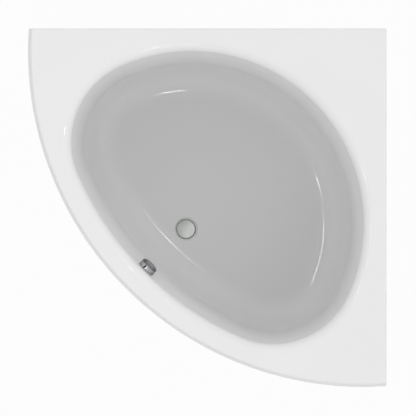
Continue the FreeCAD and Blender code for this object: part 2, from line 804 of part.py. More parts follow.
def make_panel():
    end = math.degrees(math.asin((bow_inset - panel_wall_gap) / panel_outer))
    sweep = 45 + end
    outline = [(panel_inner - panel_flange, panel_floor_gap), (panel_outer, panel_floor_gap),
               (panel_outer, panel_top), (panel_inner, panel_top),
               (panel_inner, panel_floor_gap + panel_thickness),
               (panel_inner - panel_flange, panel_floor_gap + panel_thickness)]
    panel = turned(outline, ORIGIN, UP, 2 * sweep)
    panel.rotate(ORIGIN, UP, -sweep)
    panel.translate(V(bow_centre, 0, 0))
    holes = []
    brackets = []
    screws = []
    for sign in (-1, 1):
        for z in panel_bracket_heights:
            holes.append(on_post(Part.makeCylinder(screw_radius + running_gap, 3 * panel_thickness,
                                                   V(panel_inner - panel_thickness, 0, z), ALONG), sign))
            back = post_radius + post_size / 2
            face = panel_inner - seat_gap - panel_bracket_width ** 2 / 8 / panel_inner
            web = centred_box(face - back, bracket_thickness, panel_bracket_width,
                              V((face + back) / 2, 0, z - panel_bracket_width / 2))
            shift = panel_bracket_width / 2 - bracket_thickness / 2
            web.translate(V(0, shift, 0))
            near = Part.makeBox(bracket_thickness, panel_bracket_width, panel_bracket_width,
                                V(back, -panel_bracket_width / 2, z - panel_bracket_width / 2))
            far = Part.makeBox(bracket_thickness, panel_bracket_width, panel_bracket_width,
                               V(face - bracket_thickness, -panel_bracket_width / 2,
                                 z - panel_bracket_width / 2))
            bore = Part.makeCylinder(screw_radius + running_gap, 4 * panel_thickness,
                                     V(back - bracket_thickness, 0, z), ALONG)
            bore = bore.fuse(Part.makeCylinder(screw_radius + running_gap, 4 * bracket_thickness,
                                               V(face - 2 * bracket_thickness, 0, z), ALONG))
            bracket = fused(near, web, far).cut(bore)
            brackets.append(on_post(bracket, sign))
        screws += panel_screws(sign)
    nodes["front_panel"] = from_diagonal(drilled(panel, holes))
    nodes["panel_brackets"] = from_diagonal(group(brackets))
    nodes["panel_screws"] = from_diagonal(group(screws))


# ================================================================ waste
recess_floor = basin_floor - recess_depth
flange_bottom = recess_floor + gasket_thin
flange_top = flange_bottom + flange_thickness
under_gasket_top = recess_floor - build_up
body_top = under_gasket_top - gasket_thick
body_bottom = body_top - body_height
spoke_top = flange_bottom - 12.0
tube_bottom = flange_bottom - flange_tube_length
cap_bottom = flange_top + seat_gap + 1.2
stem_bottom = cap_bottom - stem_length
lever_z = stem_bottom - seat_gap - lever_thickness / 2
hose_low = body_bottom + hose_crest + 5.0


def make_plug():
    centre = V(waste_at, 0, 0)
    nodes["waste_gasket_top"] = from_diagonal(tube(
        recess_radius - recess_edge, waste_hole_radius + 1.0,
        centre + V(0, 0, recess_floor), UP, gasket_thin))

    inner = flange_tube_radius - flange_tube_wall
    flange = turned([
        (flange_tube_radius, flange_bottom), (flange_radius, flange_bottom),
        (flange_radius, flange_bottom + flange_thickness * 0.5),
        (flange_radius - 1.5, flange_top), (seal_inner + 1.0, flange_top - 0.4),
        (inner, flange_bottom - 3.0), (inner, tube_bottom),
        (flange_tube_radius, tube_bottom)], centre)
    boss = tube(boss_radius, stem_radius + running_gap,
                centre + V(0, 0, spoke_top - 2 * spoke_height), UP, 2 * spoke_height)
    spokes = []
    for k in range(4):
        spoke = Part.makeBox(inner - boss_radius + 2.0, spoke_width, spoke_height,
                             V(boss_radius - 1.0, -spoke_width / 2, spoke_top - spoke_height))
        spoke.rotate(ORIGIN, UP, 45 + 90 * k)
        spoke.translate(centre)
        spokes.append(spoke)
    nodes["waste_flange"] = from_diagonal(fused(flange, boss, *spokes))

    rise = cap_edge + cap_crown
    sphere = (cap_radius ** 2 + cap_crown ** 2) / 2 / cap_crown
    half = math.asin(cap_radius / 2 / sphere)
    rim_point = V(cap_radius, 0, cap_bottom + cap_edge)
    mid = V(sphere * math.sin(half), 0, cap_bottom + rise - sphere * (1 - math.cos(half)))
    top = V(0, 0, cap_bottom + rise)
    edges = [line(V(0, 0, cap_bottom), V(cap_radius - 0.8, 0, cap_bottom)),
             line(V(cap_radius - 0.8, 0, cap_bottom), V(cap_radius, 0, cap_bottom + 0.8)),
             line(V(cap_radius, 0, cap_bottom + 0.8), rim_point),
             Part.Arc(rim_point, mid, top).toShape(), line(top, V(0, 0, cap_bottom))]
    cap = Part.Face(Part.Wire(edges)).revolve(ORIGIN, UP, 360)
    cap.translate(centre)
    nodes["plug_cap"] = from_diagonal(cap)
    nodes["plug_seal"] = from_diagonal(tube(
        seal_outer, seal_inner - 4.0, centre + V(0, 0, flange_top + seat_gap), UP,
        cap_bottom - flange_top - seat_gap))
    nodes["plug_stem"] = from_diagonal(turned([
        (0, stem_bottom), (stem_radius - 1, stem_bottom), (stem_radius, stem_bottom + 1),
        (stem_radius, cap_bottom), (0, cap_bottom)], centre))


def make_waste_body():
    centre = V(waste_at, 0, 0)
    nodes["waste_gasket_under"] = from_diagonal(tube(
        body_flange_radius - 1.0, waste_hole_radius + 1.0,
        centre + V(0, 0, body_top), UP, gasket_thick))

    mouth = flange_tube_radius + seat_gap
    cavity = body_radius - body_wall
    cavity_top = body_top - body_flange - 8.0
    cavity_bottom = body_bottom + body_wall + 1.0
    neck_bottom = body_bottom - neck_length
    body = turned([
        (mouth, body_top), (body_flange_radius, body_top),
        (body_flange_radius, body_top - body_flange), (body_radius, body_top - body_flange),
        (body_radius, body_bottom), (neck_radius, body_bottom), (neck_radius, neck_bottom),
        (neck_radius - neck_wall, neck_bottom), (neck_radius - neck_wall, cavity_bottom),
        (cavity, cavity_bottom), (cavity, cavity_top), (mouth, cavity_top)], centre)
    inlet = V(waste_at + cavity + 0.5, 0, hose_low)
    collar = Part.makeCylinder(hose_crest, body_wall + collar_length, inlet, ALONG)
    spigot = Part.makeCylinder(hose_bore - spigot_gap,
                               body_wall + collar_length + spigot_reach, inlet, ALONG)
    gland_at = V(hose_end() - gland_reach, gland_offset, hose_low - gland_back)
    gland = Part.makeCylinder(gland_radius, gland_reach, gland_at, ALONG)
    keep_in = Part.makeCylinder(cavity, 2 * body_height, centre + V(0, 0, neck_bottom))
    gland = gland.cut(keep_in)
    wire_way = Part.makeCylinder(gland_bore, 2 * gland_reach, gland_at - ALONG * gland_radius, ALONG)
    bore = Part.makeCylinder(hose_bore - spigot_gap - spigot_wall, 4 * collar_length,
                             inlet - ALONG * 10.0, ALONG)
    body = fused(body, collar, spigot, gland).cut(bore).cut(wire_way)
    pin_place = V(waste_at - lever_arm, 0, lever_z)
    pin_half = math.sqrt((cavity + body_wall / 2) ** 2 - lever_arm ** 2)
    pin_hole = Part.makeCylinder(lever_pin_radius + running_gap, 2 * pin_half + 2 * running_gap,
                                 pin_place - ACROSS * (pin_half + running_gap), ACROSS)
    nodes["waste_body"] = from_diagonal(body.cut(pin_hole))

    pin = Part.makeCylinder(lever_pin_radius, 2 * pin_half, pin_place - ACROSS * pin_half, ACROSS)
    nodes["lever_pin"] = from_diagonal(pin)
    hub = Part.makeCylinder(lever_hub_radius, lever_width,
                            pin_place - ACROSS * (lever_width / 2), ACROSS)
    arm = Part.makeBox(lever_arm, lever_width, lever_thickness,
                       pin_place - V(0, lever_width / 2, lever_thickness / 2))
    tip = Part.makeCylinder(lever_thickness / 2, lever_width,
                            V(waste_at, -lever_width / 2, lever_z), ACROSS)
    lever = fused(arm, hub, tip)
    lever = lever.cut(Part.makeCylinder(lever_pin_radius + running_gap, 2 * lever_width,
                                        pin_place - ACROSS * lever_width, ACROSS))
    nodes["lift_lever"] = from_diagonal(lever)
    print("lever turns", round(math.degrees(math.asin(cap_lift / lever_arm)), 3),
          "degrees to lift the plug", cap_lift)


def grip_nut(inner, centre, direction, length):
    """Plastic union nut: a ring with small grips round it."""
    ring = Part.makeCylinder(inner + nut_wall, length)
    grips = [ring]
    for k in range(nut_grips):
        grip = Part.makeBox(nut_wall, nut_grip_width, length,
                            V(inner + nut_grip_height, -nut_grip_width / 2, 0))
        grip.rotate(ORIGIN, UP, k * 360 / nut_grips)
        grips.append(grip)
    nut = fused(grips[0], *grips[1:]).cut(Part.makeCylinder(inner, length))
    nut.Placement = FreeCAD.Placement(centre, FreeCAD.Rotation(UP, direction))
    return nut


def make_trap():
    centre = V(waste_at, 0, 0)
    bottom = trap_floor_gap
    neck_bottom = body_bottom - neck_length
    top = neck_bottom - trap_neck_gap
    collar_inner = neck_radius + seat_gap
    collar_outer = collar_inner + socket_wall
    collar_top = body_bottom - collar_gap
    dip_bore = dip_radius - dip_wall
    outer = turned([(0, bottom), (trap_radius - 4, bottom), (trap_radius, bottom + 4),
                    (trap_radius, top - 1), (trap_radius - 1, top), (0, top)], centre)
    hollow = turned([(0, bottom + trap_wall), (trap_radius - 4, bottom + trap_wall),
                     (trap_radius - trap_wall, bottom + 4), (trap_radius - trap_wall, top - trap_wall),
                     (dip_radius, top - trap_wall), (dip_radius, bottom + dip_end_over_floor),
                     (0, bottom + dip_end_over_floor)], centre)
    collar = Part.makeCylinder(collar_outer, collar_top - top, centre + V(0, 0, top))
    seat = Part.makeCylinder(collar_inner, collar_top, centre + V(0, 0, neck_bottom - seat_gap))
    dip = Part.makeCylinder(dip_bore, collar_top, centre + V(0, 0, bottom + dip_end_over_floor))

    socket_z = bottom + trap_wall + outlet_radius + seat_gap
    face = V(waste_at - trap_radius - socket_length, 0, socket_z)
    stop = V(waste_at - trap_radius - socket_wall, 0, socket_z)
    socket_outer = outlet_radius + seat_gap + socket_wall
    socket = Part.makeCylinder(socket_outer, socket_length + trap_wall, face, ALONG)
    trim = Part.makeBox(2 * trap_radius, 2 * trap_radius, bottom,
                        V(waste_at - 2 * trap_radius, -trap_radius, 0))
    pipe_radius = outlet_radius - outlet_relief
    bore = Part.makeCylinder(pipe_radius + seat_gap, stop.x - face.x, face, ALONG)
    way = Part.makeCylinder(pipe_radius - outlet_wall, socket_length + trap_radius / 2, face, ALONG)
    keep_dip = Part.makeCylinder(dip_radius, top - bottom, centre + V(0, 0, bottom))
    body = fused(outer, collar, socket).cut(trim).cut(hollow).cut(way.cut(keep_dip)).cut(bore)
    nodes["trap_body"] = from_diagonal(body.cut(seat).cut(dip))

    nut_inner = collar_outer + seat_gap
    outlet_nut_inner = socket_outer + seat_gap
    nuts = [grip_nut(nut_inner, centre + V(0, 0, collar_top - nut_length), UP, nut_length),
            grip_nut(outlet_nut_inner, face, ALONG, nut_length)]
    nodes["trap_nuts"] = from_diagonal(group(nuts))

    inner_end = stop - ALONG * seat_gap
    body_length = outlet_length - spigot_length
    pipe = Part.makeCylinder(pipe_radius, body_length, inner_end, ALONG * -1)
    spigot = Part.makeCylinder(outlet_radius, spigot_length,
                               inner_end - ALONG * body_length, ALONG * -1)
    bore = Part.makeCylinder(pipe_radius - outlet_wall, outlet_length, inner_end, ALONG * -1)
    nodes["outlet_pipe"] = from_diagonal(pipe.fuse(spigot).cut(bore))
    spigot_end = inner_end - ALONG * outlet_length
    print("outlet spigot's end", [round(c, 3) for c in from_diagonal(Part.Vertex(spigot_end)).Point])


# ================================================================ overflow
wall_back = build_up + bond_gap             # behind the laminate, measured along the axis
overflow_at = overflow_point()
hose_at = overflow_at.x + hose_setback
hose_top = overflow_at.z - cup_radius - collar_drop


def make_overflow():
    gasket = tube(cup_flange_radius - 2.0, overflow_hole_radius + 1.0,
                  V(0, 0, -wall_back - gasket_thick), UP, gasket_thick)
    nodes["overflow_gasket"] = from_diagonal(from_overflow(gasket))

    front = -wall_back - gasket_thick
    step = front - body_flange
    cavity = cup_radius - cup_wall
    hub_radius = spindle_radius + running_gap + hub_wall
    cup = turned([(0, front), (cup_flange_radius, front), (cup_flange_radius, step),
                  (cup_radius, step), (cup_radius, -cup_depth + 2), (cup_radius - 2, -cup_depth),
                  (0, -cup_depth)])
    hollow = turned([(0, front), (overflow_hole_radius - 2.0, front), (overflow_hole_radius - 2.0, step),
                     (cavity, step), (cavity, -cup_depth + cup_wall), (0, -cup_depth + cup_wall)])
    boss = turned([(hub_radius + seat_gap, -hub_end), (hub_radius + seat_gap + hub_wall, -hub_end),
                   (hub_radius + seat_gap + hub_wall, -hub_end + spider_thickness),
                   (hub_radius + seat_gap, -hub_end + spider_thickness)])
    arms = [Part.makeBox(2 * hub_wall, cavity + 1.0 - hub_radius - seat_gap - 1.0, spider_thickness,
                         V(-hub_wall, hub_radius + seat_gap + 1.0, -hub_end))]
    arms.append(mirrored(arms[0]))
    cup = fused(cup.cut(hollow), boss, *arms)

    collar = Part.makeCylinder(hose_crest, cup_radius, V(hose_at, 0, hose_top))
    spigot = Part.makeCylinder(hose_bore - spigot_gap, cup_radius + spigot_reach,
                               V(hose_at, 0, hose_top - spigot_reach))
    gland_at = V(hose_at + gland_back, gland_offset, hose_top)
    gland = Part.makeCylinder(gland_radius, cup_radius, gland_at)
    wire_way = Part.makeCylinder(gland_bore, cup_radius, gland_at)
    outside = fused(collar, spigot, gland).cut(from_overflow(turned([
        (0, front + 1), (cavity + 1, front + 1), (cavity + 1, -cup_depth + cup_wall),
        (0, -cup_depth + cup_wall)])))
    bore = Part.makeCylinder(hose_bore - spigot_gap - spigot_wall, cup_radius + spigot_reach,
                             V(hose_at, 0, hose_top - spigot_reach))
    bore = bore.cut(from_overflow(Part.makeCylinder(cup_radius, cup_depth + front - spider_thickness,
                                                    V(cup_radius, 0, -cup_depth))))
    body = fused(from_overflow(cup), outside).cut(bore).cut(wire_way)
    nodes["overflow_body"] = from_diagonal(body)

    bore_radius = spindle_radius + running_gap
    inner = housing_radius - housing_wall
    face = wall_seat + housing_depth
    housing = turned([(inner, wall_seat), (housing_radius, wall_seat), (housing_radius, face),
                      (bore_radius, face), (bore_radius, -hub_end), (hub_radius, -hub_end),
                      (hub_radius, face - housing_wall), (inner, face - housing_wall)])
    slots = []
    for angle, width, length in [(slot_angle, slot_width, slot_length)] + [
            (a, inlet_width, inlet_length) for a in inlet_angles]:
        slot = Part.makeBox(3 * housing_wall, width, length,
                            V(inner - housing_wall, -width / 2, wall_seat + housing_wall))
        slot.rotate(ORIGIN, UP, angle)
        slots.append(slot)
    nodes["overflow_housing"] = from_diagonal(from_overflow(drilled(housing, slots)))

    low = face + knob_gap
    high = low + knob_edge + knob_chamfer
    knob = turned([(0, low), (housing_radius, low), (housing_radius, low + knob_edge),
                   (housing_radius - knob_chamfer, high), (housing_radius - knob_chamfer - 3, high),
                   (housing_radius - knob_chamfer - 6, high - 1.2), (0, high - 1.2)])
    flutes = []
    for k in range(knob_flutes):
        flute = Part.makeCylinder(flute_radius, 2 * knob_chamfer + knob_edge,
                                  V(housing_radius + flute_radius - flute_depth, 0, low - 1))
        flute.rotate(ORIGIN, UP, k * 360 / knob_flutes)
        flutes.append(flute)
    pointer = Part.makeBox(12.0, 2.0, 2.0, V(housing_radius - knob_chamfer - 13, -1.0, high - 2.2))
    knob = drilled(knob, flutes + [pointer])
    nodes["overflow_knob"] = from_diagonal(from_overflow(knob))

    pulley_front = -hub_end - pulley_gap
    spindle = Part.makeCylinder(spindle_radius, low - pulley_front + pulley_thickness,
                                V(0, 0, pulley_front - pulley_thickness))
    pulley = turned([(spindle_radius, pulley_front), (pulley_radius, pulley_front),
                     (pulley_radius - 1.5, pulley_front - pulley_thickness / 2),
                     (pulley_radius, pulley_front - pulley_thickness),
                     (spindle_radius, pulley_front - pulley_thickness)])
    nodes["knob_spindle"] = from_diagonal(from_overflow(spindle))
    nodes["cable_pulley"] = from_diagonal(from_overflow(pulley))


# ================================================================ overflow hose
def hose_end():
    """Where the hose meets the waste body's collar, on the diagonal."""
    return waste_at + body_radius + collar_length + 0.5


def drop_length():
    return hose_top - hose_low - hose_bend


def bend_length():
    return hose_bend * math.pi / 2


def hose_length():
    return drop_length() + bend_length() + hose_at - hose_bend - hose_end()


def hose_place(run):
    """Point, direction and outer side of the bend, a run down the hose's centre line."""
    drop = drop_length()
    bend = bend_length()
    if run <= drop:
        return V(hose_at, 0, hose_top - run), V(0, 0, -1), V(1, 0, 0)
    if run >= drop + bend:
        run -= drop + bend
        return V(hose_at - hose_bend - run, 0, hose_low), V(-1, 0, 0), V(0, 0, -1)
    turn = (run - drop) / hose_bend
    outer = V(math.cos(turn), 0, -math.sin(turn))
    centre = V(hose_at - hose_bend, 0, hose_low + hose_bend)
    return centre + outer * hose_bend, V(-math.sin(turn), 0, -math.cos(turn)), outer


def ring_at(run, radius):
    point, direction, outer = hose_place(run)
    circle = Part.makeCircle(radius)
    turn = FreeCAD.Rotation(ACROSS, V(0, 0, 0), direction, "XZY")
    circle.Placement = FreeCAD.Placement(point, turn)
    return Part.Wire([circle])


def hose_path():
    """Straight down, a quarter turn, and level to the waste."""
    centre = V(hose_at - hose_bend, 0, hose_low + hose_bend)
    first = V(hose_at, 0, hose_low + hose_bend)
    mid = centre + V(hose_bend / root_two, 0, -hose_bend / root_two)
    second = V(hose_at - hose_bend, 0, hose_low)
    return Part.Wire([line(V(hose_at, 0, hose_top), first), Part.Arc(first, mid, second).toShape(),
                      line(second, V(hose_end(), 0, hose_low))])


def swept(radius, path):
    start = path.Vertexes[0].Point
    profile = Part.Wire([Part.makeCircle(radius, start, V(0, 0, -1))])
    return path.makePipeShell([profile], True, False)


def make_hose():
    length = hose_length()
    ribbed = length - 2 * cuff_length
    ribs = round(ribbed / rib_pitch)
    pitch = ribbed / ribs
    rings = [ring_at(0, hose_crest), ring_at(cuff_length - pitch / 4, hose_crest)]
    for k in range(ribs):
        run = cuff_length + k * pitch
        rings.append(ring_at(run, hose_valley))
        rings.append(ring_at(run + pitch * 0.30, hose_valley))
        rings.append(ring_at(run + pitch * 0.50, hose_crest))
        rings.append(ring_at(run + pitch * 0.80, hose_crest))
    rings.append(ring_at(length, hose_crest))
    outside = Part.makeLoft(rings, True, True)
    bore = swept(hose_bore, hose_path())
    nodes["overflow_hose"] = from_diagonal(outside.cut(bore))
    print("hose: length", round(length, 1), "ribs", ribs, "bend radius", hose_bend)

    clamps = []
    for run in (cuff_length / 2 - clamp_width / 2, length - cuff_length / 2 - clamp_width / 2):
        point, direction, outer = hose_place(run)
        inner = hose_crest + bond_gap
        clamp = tube(inner + clamp_wall, inner, point, direction, clamp_width)
        screw_box = Part.makeBox(10.0, 14.0, clamp_width, V(inner + clamp_wall / 2, -7.0, 0))
        screw_box.Placement = FreeCAD.Placement(
            point, FreeCAD.Rotation(outer, V(0, 0, 0), direction, "ZXY"))
        clamp = fused(clamp, screw_box)
        clamps.append(clamp)
    nodes["hose_clamps"] = from_diagonal(group(clamps))


# ================================================================ build and export
def main():
    make_shell()
    make_board()
    make_battens()
    make_rails()
    make_posts()
    make_braces()
    make_feet()
    make_brackets()
    make_panel()
    make_plug()
    make_waste_body()
    make_trap()
    make_overflow()
    make_hose()
    os.makedirs("parts", exist_ok=True)
    whole = FreeCAD.BoundBox()
    for name, shape in nodes.items():
        whole.add(shape.optimalBoundingBox(False))
        solids = len(shape.Solids)
        print("%-22s valid %s, %d solids, %.0f mm3" % (name, shape.isValid(), solids, shape.Volume))
        shape.exportStep("parts/%s.step" % name)
    print(len(nodes), "nodes; overall %.2f x %.2f x %.2f mm" % (
        whole.XLength, whole.YLength, whole.ZLength))


main()
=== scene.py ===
# %% [markdown]
# # A corner bathtub
# A quarter-round acrylic bath that fills the corner of a bathroom, seen from straight above.
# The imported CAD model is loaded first.  It gives every real size and place, so the work here
# is the look: a smooth glossy skin, chrome fittings and believable hidden parts.

# %% Load the frame
import json
import math
import bmesh
import bpy
from mathutils import Matrix, Vector


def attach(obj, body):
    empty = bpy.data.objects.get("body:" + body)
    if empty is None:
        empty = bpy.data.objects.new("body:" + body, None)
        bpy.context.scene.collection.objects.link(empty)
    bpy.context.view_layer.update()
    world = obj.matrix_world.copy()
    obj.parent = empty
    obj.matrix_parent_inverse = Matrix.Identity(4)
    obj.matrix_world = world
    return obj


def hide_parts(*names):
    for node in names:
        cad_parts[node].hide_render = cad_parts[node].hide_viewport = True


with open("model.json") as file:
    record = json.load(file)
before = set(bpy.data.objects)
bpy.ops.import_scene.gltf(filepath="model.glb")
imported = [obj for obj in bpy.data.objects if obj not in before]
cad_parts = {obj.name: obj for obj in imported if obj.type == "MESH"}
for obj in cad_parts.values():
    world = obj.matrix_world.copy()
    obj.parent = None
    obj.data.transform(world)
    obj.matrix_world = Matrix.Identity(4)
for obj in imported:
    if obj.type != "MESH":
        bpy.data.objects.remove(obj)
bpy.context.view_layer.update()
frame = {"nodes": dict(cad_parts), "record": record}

nodes = frame["nodes"]

# %% [markdown]
# ## The camera
# The photograph looks straight down with almost no perspective: a drawing-like product view.
# A very long lens far away gives that and stays an ordinary perspective camera.  The image's
# right is the bath's +x and its top is +y, so the camera needs no rotation at all.

# %% Camera
rim_z = 0.58                  # top of the rim
frame_width = 1.624           # what the photograph spans at the rim
camera_height = 40.0
picture_middle = (0.0030, -0.0009)
sensor = 36.0

camera_data = bpy.data.cameras.new("camera")
camera_data.sensor_width = sensor
camera_data.lens = sensor * camera_height / frame_width
camera_data.clip_end = 200.0
camera = bpy.data.objects.new("camera", camera_data)
camera.location = (*picture_middle, rim_z + camera_height)
bpy.context.scene.collection.objects.link(camera)
bpy.context.scene.camera = camera
bpy.context.scene.view_settings.view_transform = "Standard"
print("lens", round(camera_data.lens, 1), "mm at", camera_height, "m")

# %% [markdown]
# ## Small helpers for shader nodes
# A finish is a network of little sums, noises and blends.  Writing each as one short call
# keeps a material readable: every helper takes sockets or plain numbers and gives a socket.

# %% Helpers for nodes
def feed(tree, socket, value):
    """Links a socket to an input, or writes a plain value into it."""
    if isinstance(value, bpy.types.NodeSocket):
        tree.links.new(value, socket)
    else:
        socket.default_value = value


def calc(tree, operation, *values, clamp=False):
    """One sum on numbers, such as ADD or MULTIPLY."""
    node = tree.nodes.new("ShaderNodeMath")
    node.operation = operation
    node.use_clamp = clamp
    for socket, value in zip(node.inputs, values):
        feed(tree, socket, value)
    return node.outputs[0]


def vector_calc(tree, operation, *values):
    """One sum on vectors.  A dot product or a length gives a number."""
    node = tree.nodes.new("ShaderNodeVectorMath")
    node.operation = operation
    for socket, value in zip(node.inputs, values):
        feed(tree, socket, value)
    return node.outputs["Value" if operation in ("DOT_PRODUCT", "LENGTH") else "Vector"]


def remap(tree, value, low, high, to_low=0.0, to_high=1.0, smooth=False):
    """A value's range low..high becomes to_low..to_high and stops there."""
    node = tree.nodes.new("ShaderNodeMapRange")
    if smooth:
        node.interpolation_type = "SMOOTHSTEP"
    for socket, number in zip(node.inputs[:5], (value, low, high, to_low, to_high)):
        feed(tree, socket, number)
    return node.outputs[0]


def blend_colors(tree, share, first, second):
    """The first colour where the share is 0, the second where it is 1."""
    node = tree.nodes.new("ShaderNodeMix")
    node.data_type = "RGBA"
    for index, value in ((0, share), (6, first), (7, second)):
        feed(tree, node.inputs[index], value)
    return node.outputs[2]


def noise(tree, place, scale, detail, distortion=0.0):
    """Cloudy values round 0.5, with scale waves to a metre."""
    node = tree.nodes.new("ShaderNodeTexNoise")
    feed(tree, node.inputs["Vector"], place)
    for name, value in (("Scale", scale), ("Detail", detail), ("Distortion", distortion)):
        feed(tree, node.inputs[name], value)
    return node.outputs[0]


def split_xyz(tree, vector):
    node = tree.nodes.new("ShaderNodeSeparateXYZ")
    feed(tree, node.inputs[0], vector)
    return node.outputs


def cells(tree, place, scale):
    """Three random values that are the same all over each cell."""
    node = tree.nodes.new("ShaderNodeTexVoronoi")
    feed(tree, node.inputs["Vector"], place)
    feed(tree, node.inputs["Scale"], scale)
    parts = tree.nodes.new("ShaderNodeSeparateColor")
    tree.links.new(node.outputs["Color"], parts.inputs[0])
    return parts.outputs


def surface_place(tree):
    """Places on the surface, in metres.  They stay with a piece when it moves."""
    return tree.nodes.new("ShaderNodeTexCoord").outputs["Object"]


def white_for_seen_rays(tree):
    """1 for camera, glossy and transmission rays."""
    path = tree.nodes.new("ShaderNodeLightPath").outputs
    sharp = calc(tree, "MAXIMUM", path["Is Camera Ray"], path["Is Glossy Ray"])
    return calc(tree, "MAXIMUM", sharp, path["Is Transmission Ray"])


# %% [markdown]
# ## Room light
# The photograph has a pure white background, a bright rim and a basin that falls clearly
# darker.  Light that comes from the sides, through a ring of windows, does that: it reaches
# the flat rim in full, and the bottom of the basin only after bouncing from its walls.
# So the world is brightest about 16 degrees above the horizon and fades towards the zenith,
# with a little more light from the right, as the basin's walls show.  Rays that are seen,
# mirrored or refracted find plain white instead, so chrome and gloss show it.

# %% World
band_light = 1.89
overhead_light = 0.34
band_begins, band_full = 0.02, 0.26     # heights of a direction, 1 being straight up
fade_begins, fade_over = 0.30, 0.95
from_right = 0.12

world = bpy.data.worlds.new("room")
bpy.context.scene.world = world
world.use_nodes = True
tree = world.node_tree
tree.nodes.clear()
toward = split_xyz(tree, tree.nodes.new("ShaderNodeTexCoord").outputs["Generated"])
rising = remap(tree, toward["Z"], band_begins, band_full, 0.0, band_light, smooth=True)
falling = remap(tree, toward["Z"], fade_begins, fade_over, 1.0, overhead_light / band_light,
                smooth=True)
ring = tree.nodes.new("ShaderNodeBackground")
seen = tree.nodes.new("ShaderNodeBackground")
for sky in (ring, seen):
    sky.inputs["Color"].default_value = (1, 1, 1, 1)
sideways = calc(tree, "MULTIPLY_ADD", toward["X"], from_right, 1.0)
feed(tree, ring.inputs["Strength"], calc(tree, "MULTIPLY", sideways, calc(
    tree, "MULTIPLY", rising, falling)))
mix = tree.nodes.new("ShaderNodeMixShader")
out = tree.nodes.new("ShaderNodeOutputWorld")
for socket, value in zip(mix.inputs, (white_for_seen_rays(tree), ring.outputs[0],
                                      seen.outputs[0])):
    tree.links.new(value, socket)
tree.links.new(mix.outputs[0], out.inputs[0])
print("band of light", band_light, "fading to", overhead_light)

# %% [markdown]
# ## Floor
# The bath stands on a plain pale sheet.  Seen rays find it almost plain white, so that the
# background is as white as the photograph's while a breath of the object's shadow stays.

# %% Floor
floor_half = 8.0
shadow_share = 0.03
sheet_tones = (0.37, 0.40)

mesh = bpy.data.meshes.new("floor")
mesh.from_pydata([(-floor_half, -floor_half, 0), (floor_half, -floor_half, 0),
                  (floor_half, floor_half, 0), (-floor_half, floor_half, 0)], [], [(0, 1, 2, 3)])
floor = bpy.data.objects.new("floor", mesh)
bpy.context.scene.collection.objects.link(floor)
paint = bpy.data.materials.new("floor")
paint.use_nodes = True
tree = paint.node_tree
shader = tree.nodes["Principled BSDF"]
tone = remap(tree, noise(tree, surface_place(tree), 3.0, 3.0), 0.3, 0.7, *sheet_tones)
feed(tree, shader.inputs["Base Color"], tone)
shader.inputs["Roughness"].default_value = 0.9
glow = tree.nodes.new("ShaderNodeEmission")
glow.inputs["Color"].default_value = (1, 1, 1, 1)
mix = tree.nodes.new("ShaderNodeMixShader")
share = calc(tree, "MULTIPLY", white_for_seen_rays(tree), 1 - shadow_share)
for socket, value in zip(mix.inputs, (share, shader.outputs[0], glow.outputs[0])):
    tree.links.new(value, socket)
tree.links.new(mix.outputs[0], tree.nodes["Material Output"].inputs[0])
mesh.materials.append(paint)
print("floor", 2 * floor_half, "m square")

# %% [markdown]
# ## Lamps
# Small soft lamps stand round the bath.  They add little light.  Each is there to be mirrored
# in the gloss: it draws one thin streak on the rolled rim and one where the floor sweeps up.

# %% Lamps
lamp_distance = 4.0
lamp_radiance = 32.0


def direction(azimuth, elevation):
    turn = math.radians(azimuth)
    rise = math.radians(elevation)
    return Vector((math.cos(turn) * math.cos(rise), math.sin(turn) * math.cos(rise),
                   math.sin(rise)))


# name, azimuth and elevation of one end, of the other end (degrees), thickness (m)
lamps = [
    ("bottom", -80.6, 68, -88.6, 68, 0.15),
    ("right", 0, 68, 4, 68, 0.15),
    ("left", 196.4, 68, 201.4, 68, 0.16),
    ("corner", 43.9, 68, 45.5, 68, 0.16),
    ("strip", 186, 72.5, 149, 61.5, 0.05),
    ("spot_far", 133.2, 66.8, 136.2, 66.8, 0.10),
    ("spot_near", 108.5, 66.2, 111.5, 66.2, 0.10),
]
rim_centre = Vector((0, 0, rim_z))
for name, azimuth_a, elevation_a, azimuth_b, elevation_b, tall in lamps:
    one = direction(azimuth_a, elevation_a) * lamp_distance
    other = direction(azimuth_b, elevation_b) * lamp_distance
    back = (one + other).normalized()
    across = (other - one).normalized()
    up = back.cross(across)
    data = bpy.data.lights.new("lamp_" + name, "AREA")
    data.shape = "RECTANGLE"
    data.size = (other - one).length
    data.size_y = tall
    data.energy = lamp_radiance * math.pi * data.size * data.size_y
    lamp = bpy.data.objects.new("lamp_" + name, data)
    lamp.matrix_world = Matrix.Translation(rim_centre + (one + other) / 2) @ Matrix(
        (across, up, back)).transposed().to_4x4()
    lamp.visible_camera = False
    bpy.context.scene.collection.objects.link(lamp)
    print("lamp", name, round(data.energy, 1), "W")

# %% [markdown]
# ## Shared effects
# Several finishes share the same physics: a moulded skin is never perfectly even, dust lies
# on what faces up, turned and rolled metal carries fine lines.  Each such effect is a node
# group, built once and placed in every material that needs it, with that material's values.

# %% Building a node group
def new_group(name, inputs, outputs):
    """An empty group.  inputs are (name, kind, value), outputs are (name, kind)."""
    group = bpy.data.node_groups.new(name, "ShaderNodeTree")
    for label, kind, value in inputs:
        socket = group.interface.new_socket(label, in_out="INPUT", socket_type="NodeSocket" + kind)
        socket.default_value = value
    for label, kind in outputs:
        group.interface.new_socket(label, in_out="OUTPUT", socket_type="NodeSocket" + kind)
    start = group.nodes.new("NodeGroupInput")
    end = group.nodes.new("NodeGroupOutput")
    return group, start.outputs, end.inputs


def use_group(tree, group, **values):
    """Places a group.  Keyword names are the inputs' names with _ for a space."""
    node = tree.nodes.new("ShaderNodeGroup")
    node.node_tree = group
    for name, value in values.items():
        feed(tree, node.inputs[name.replace("_", " ")], value)
    return node.outputs


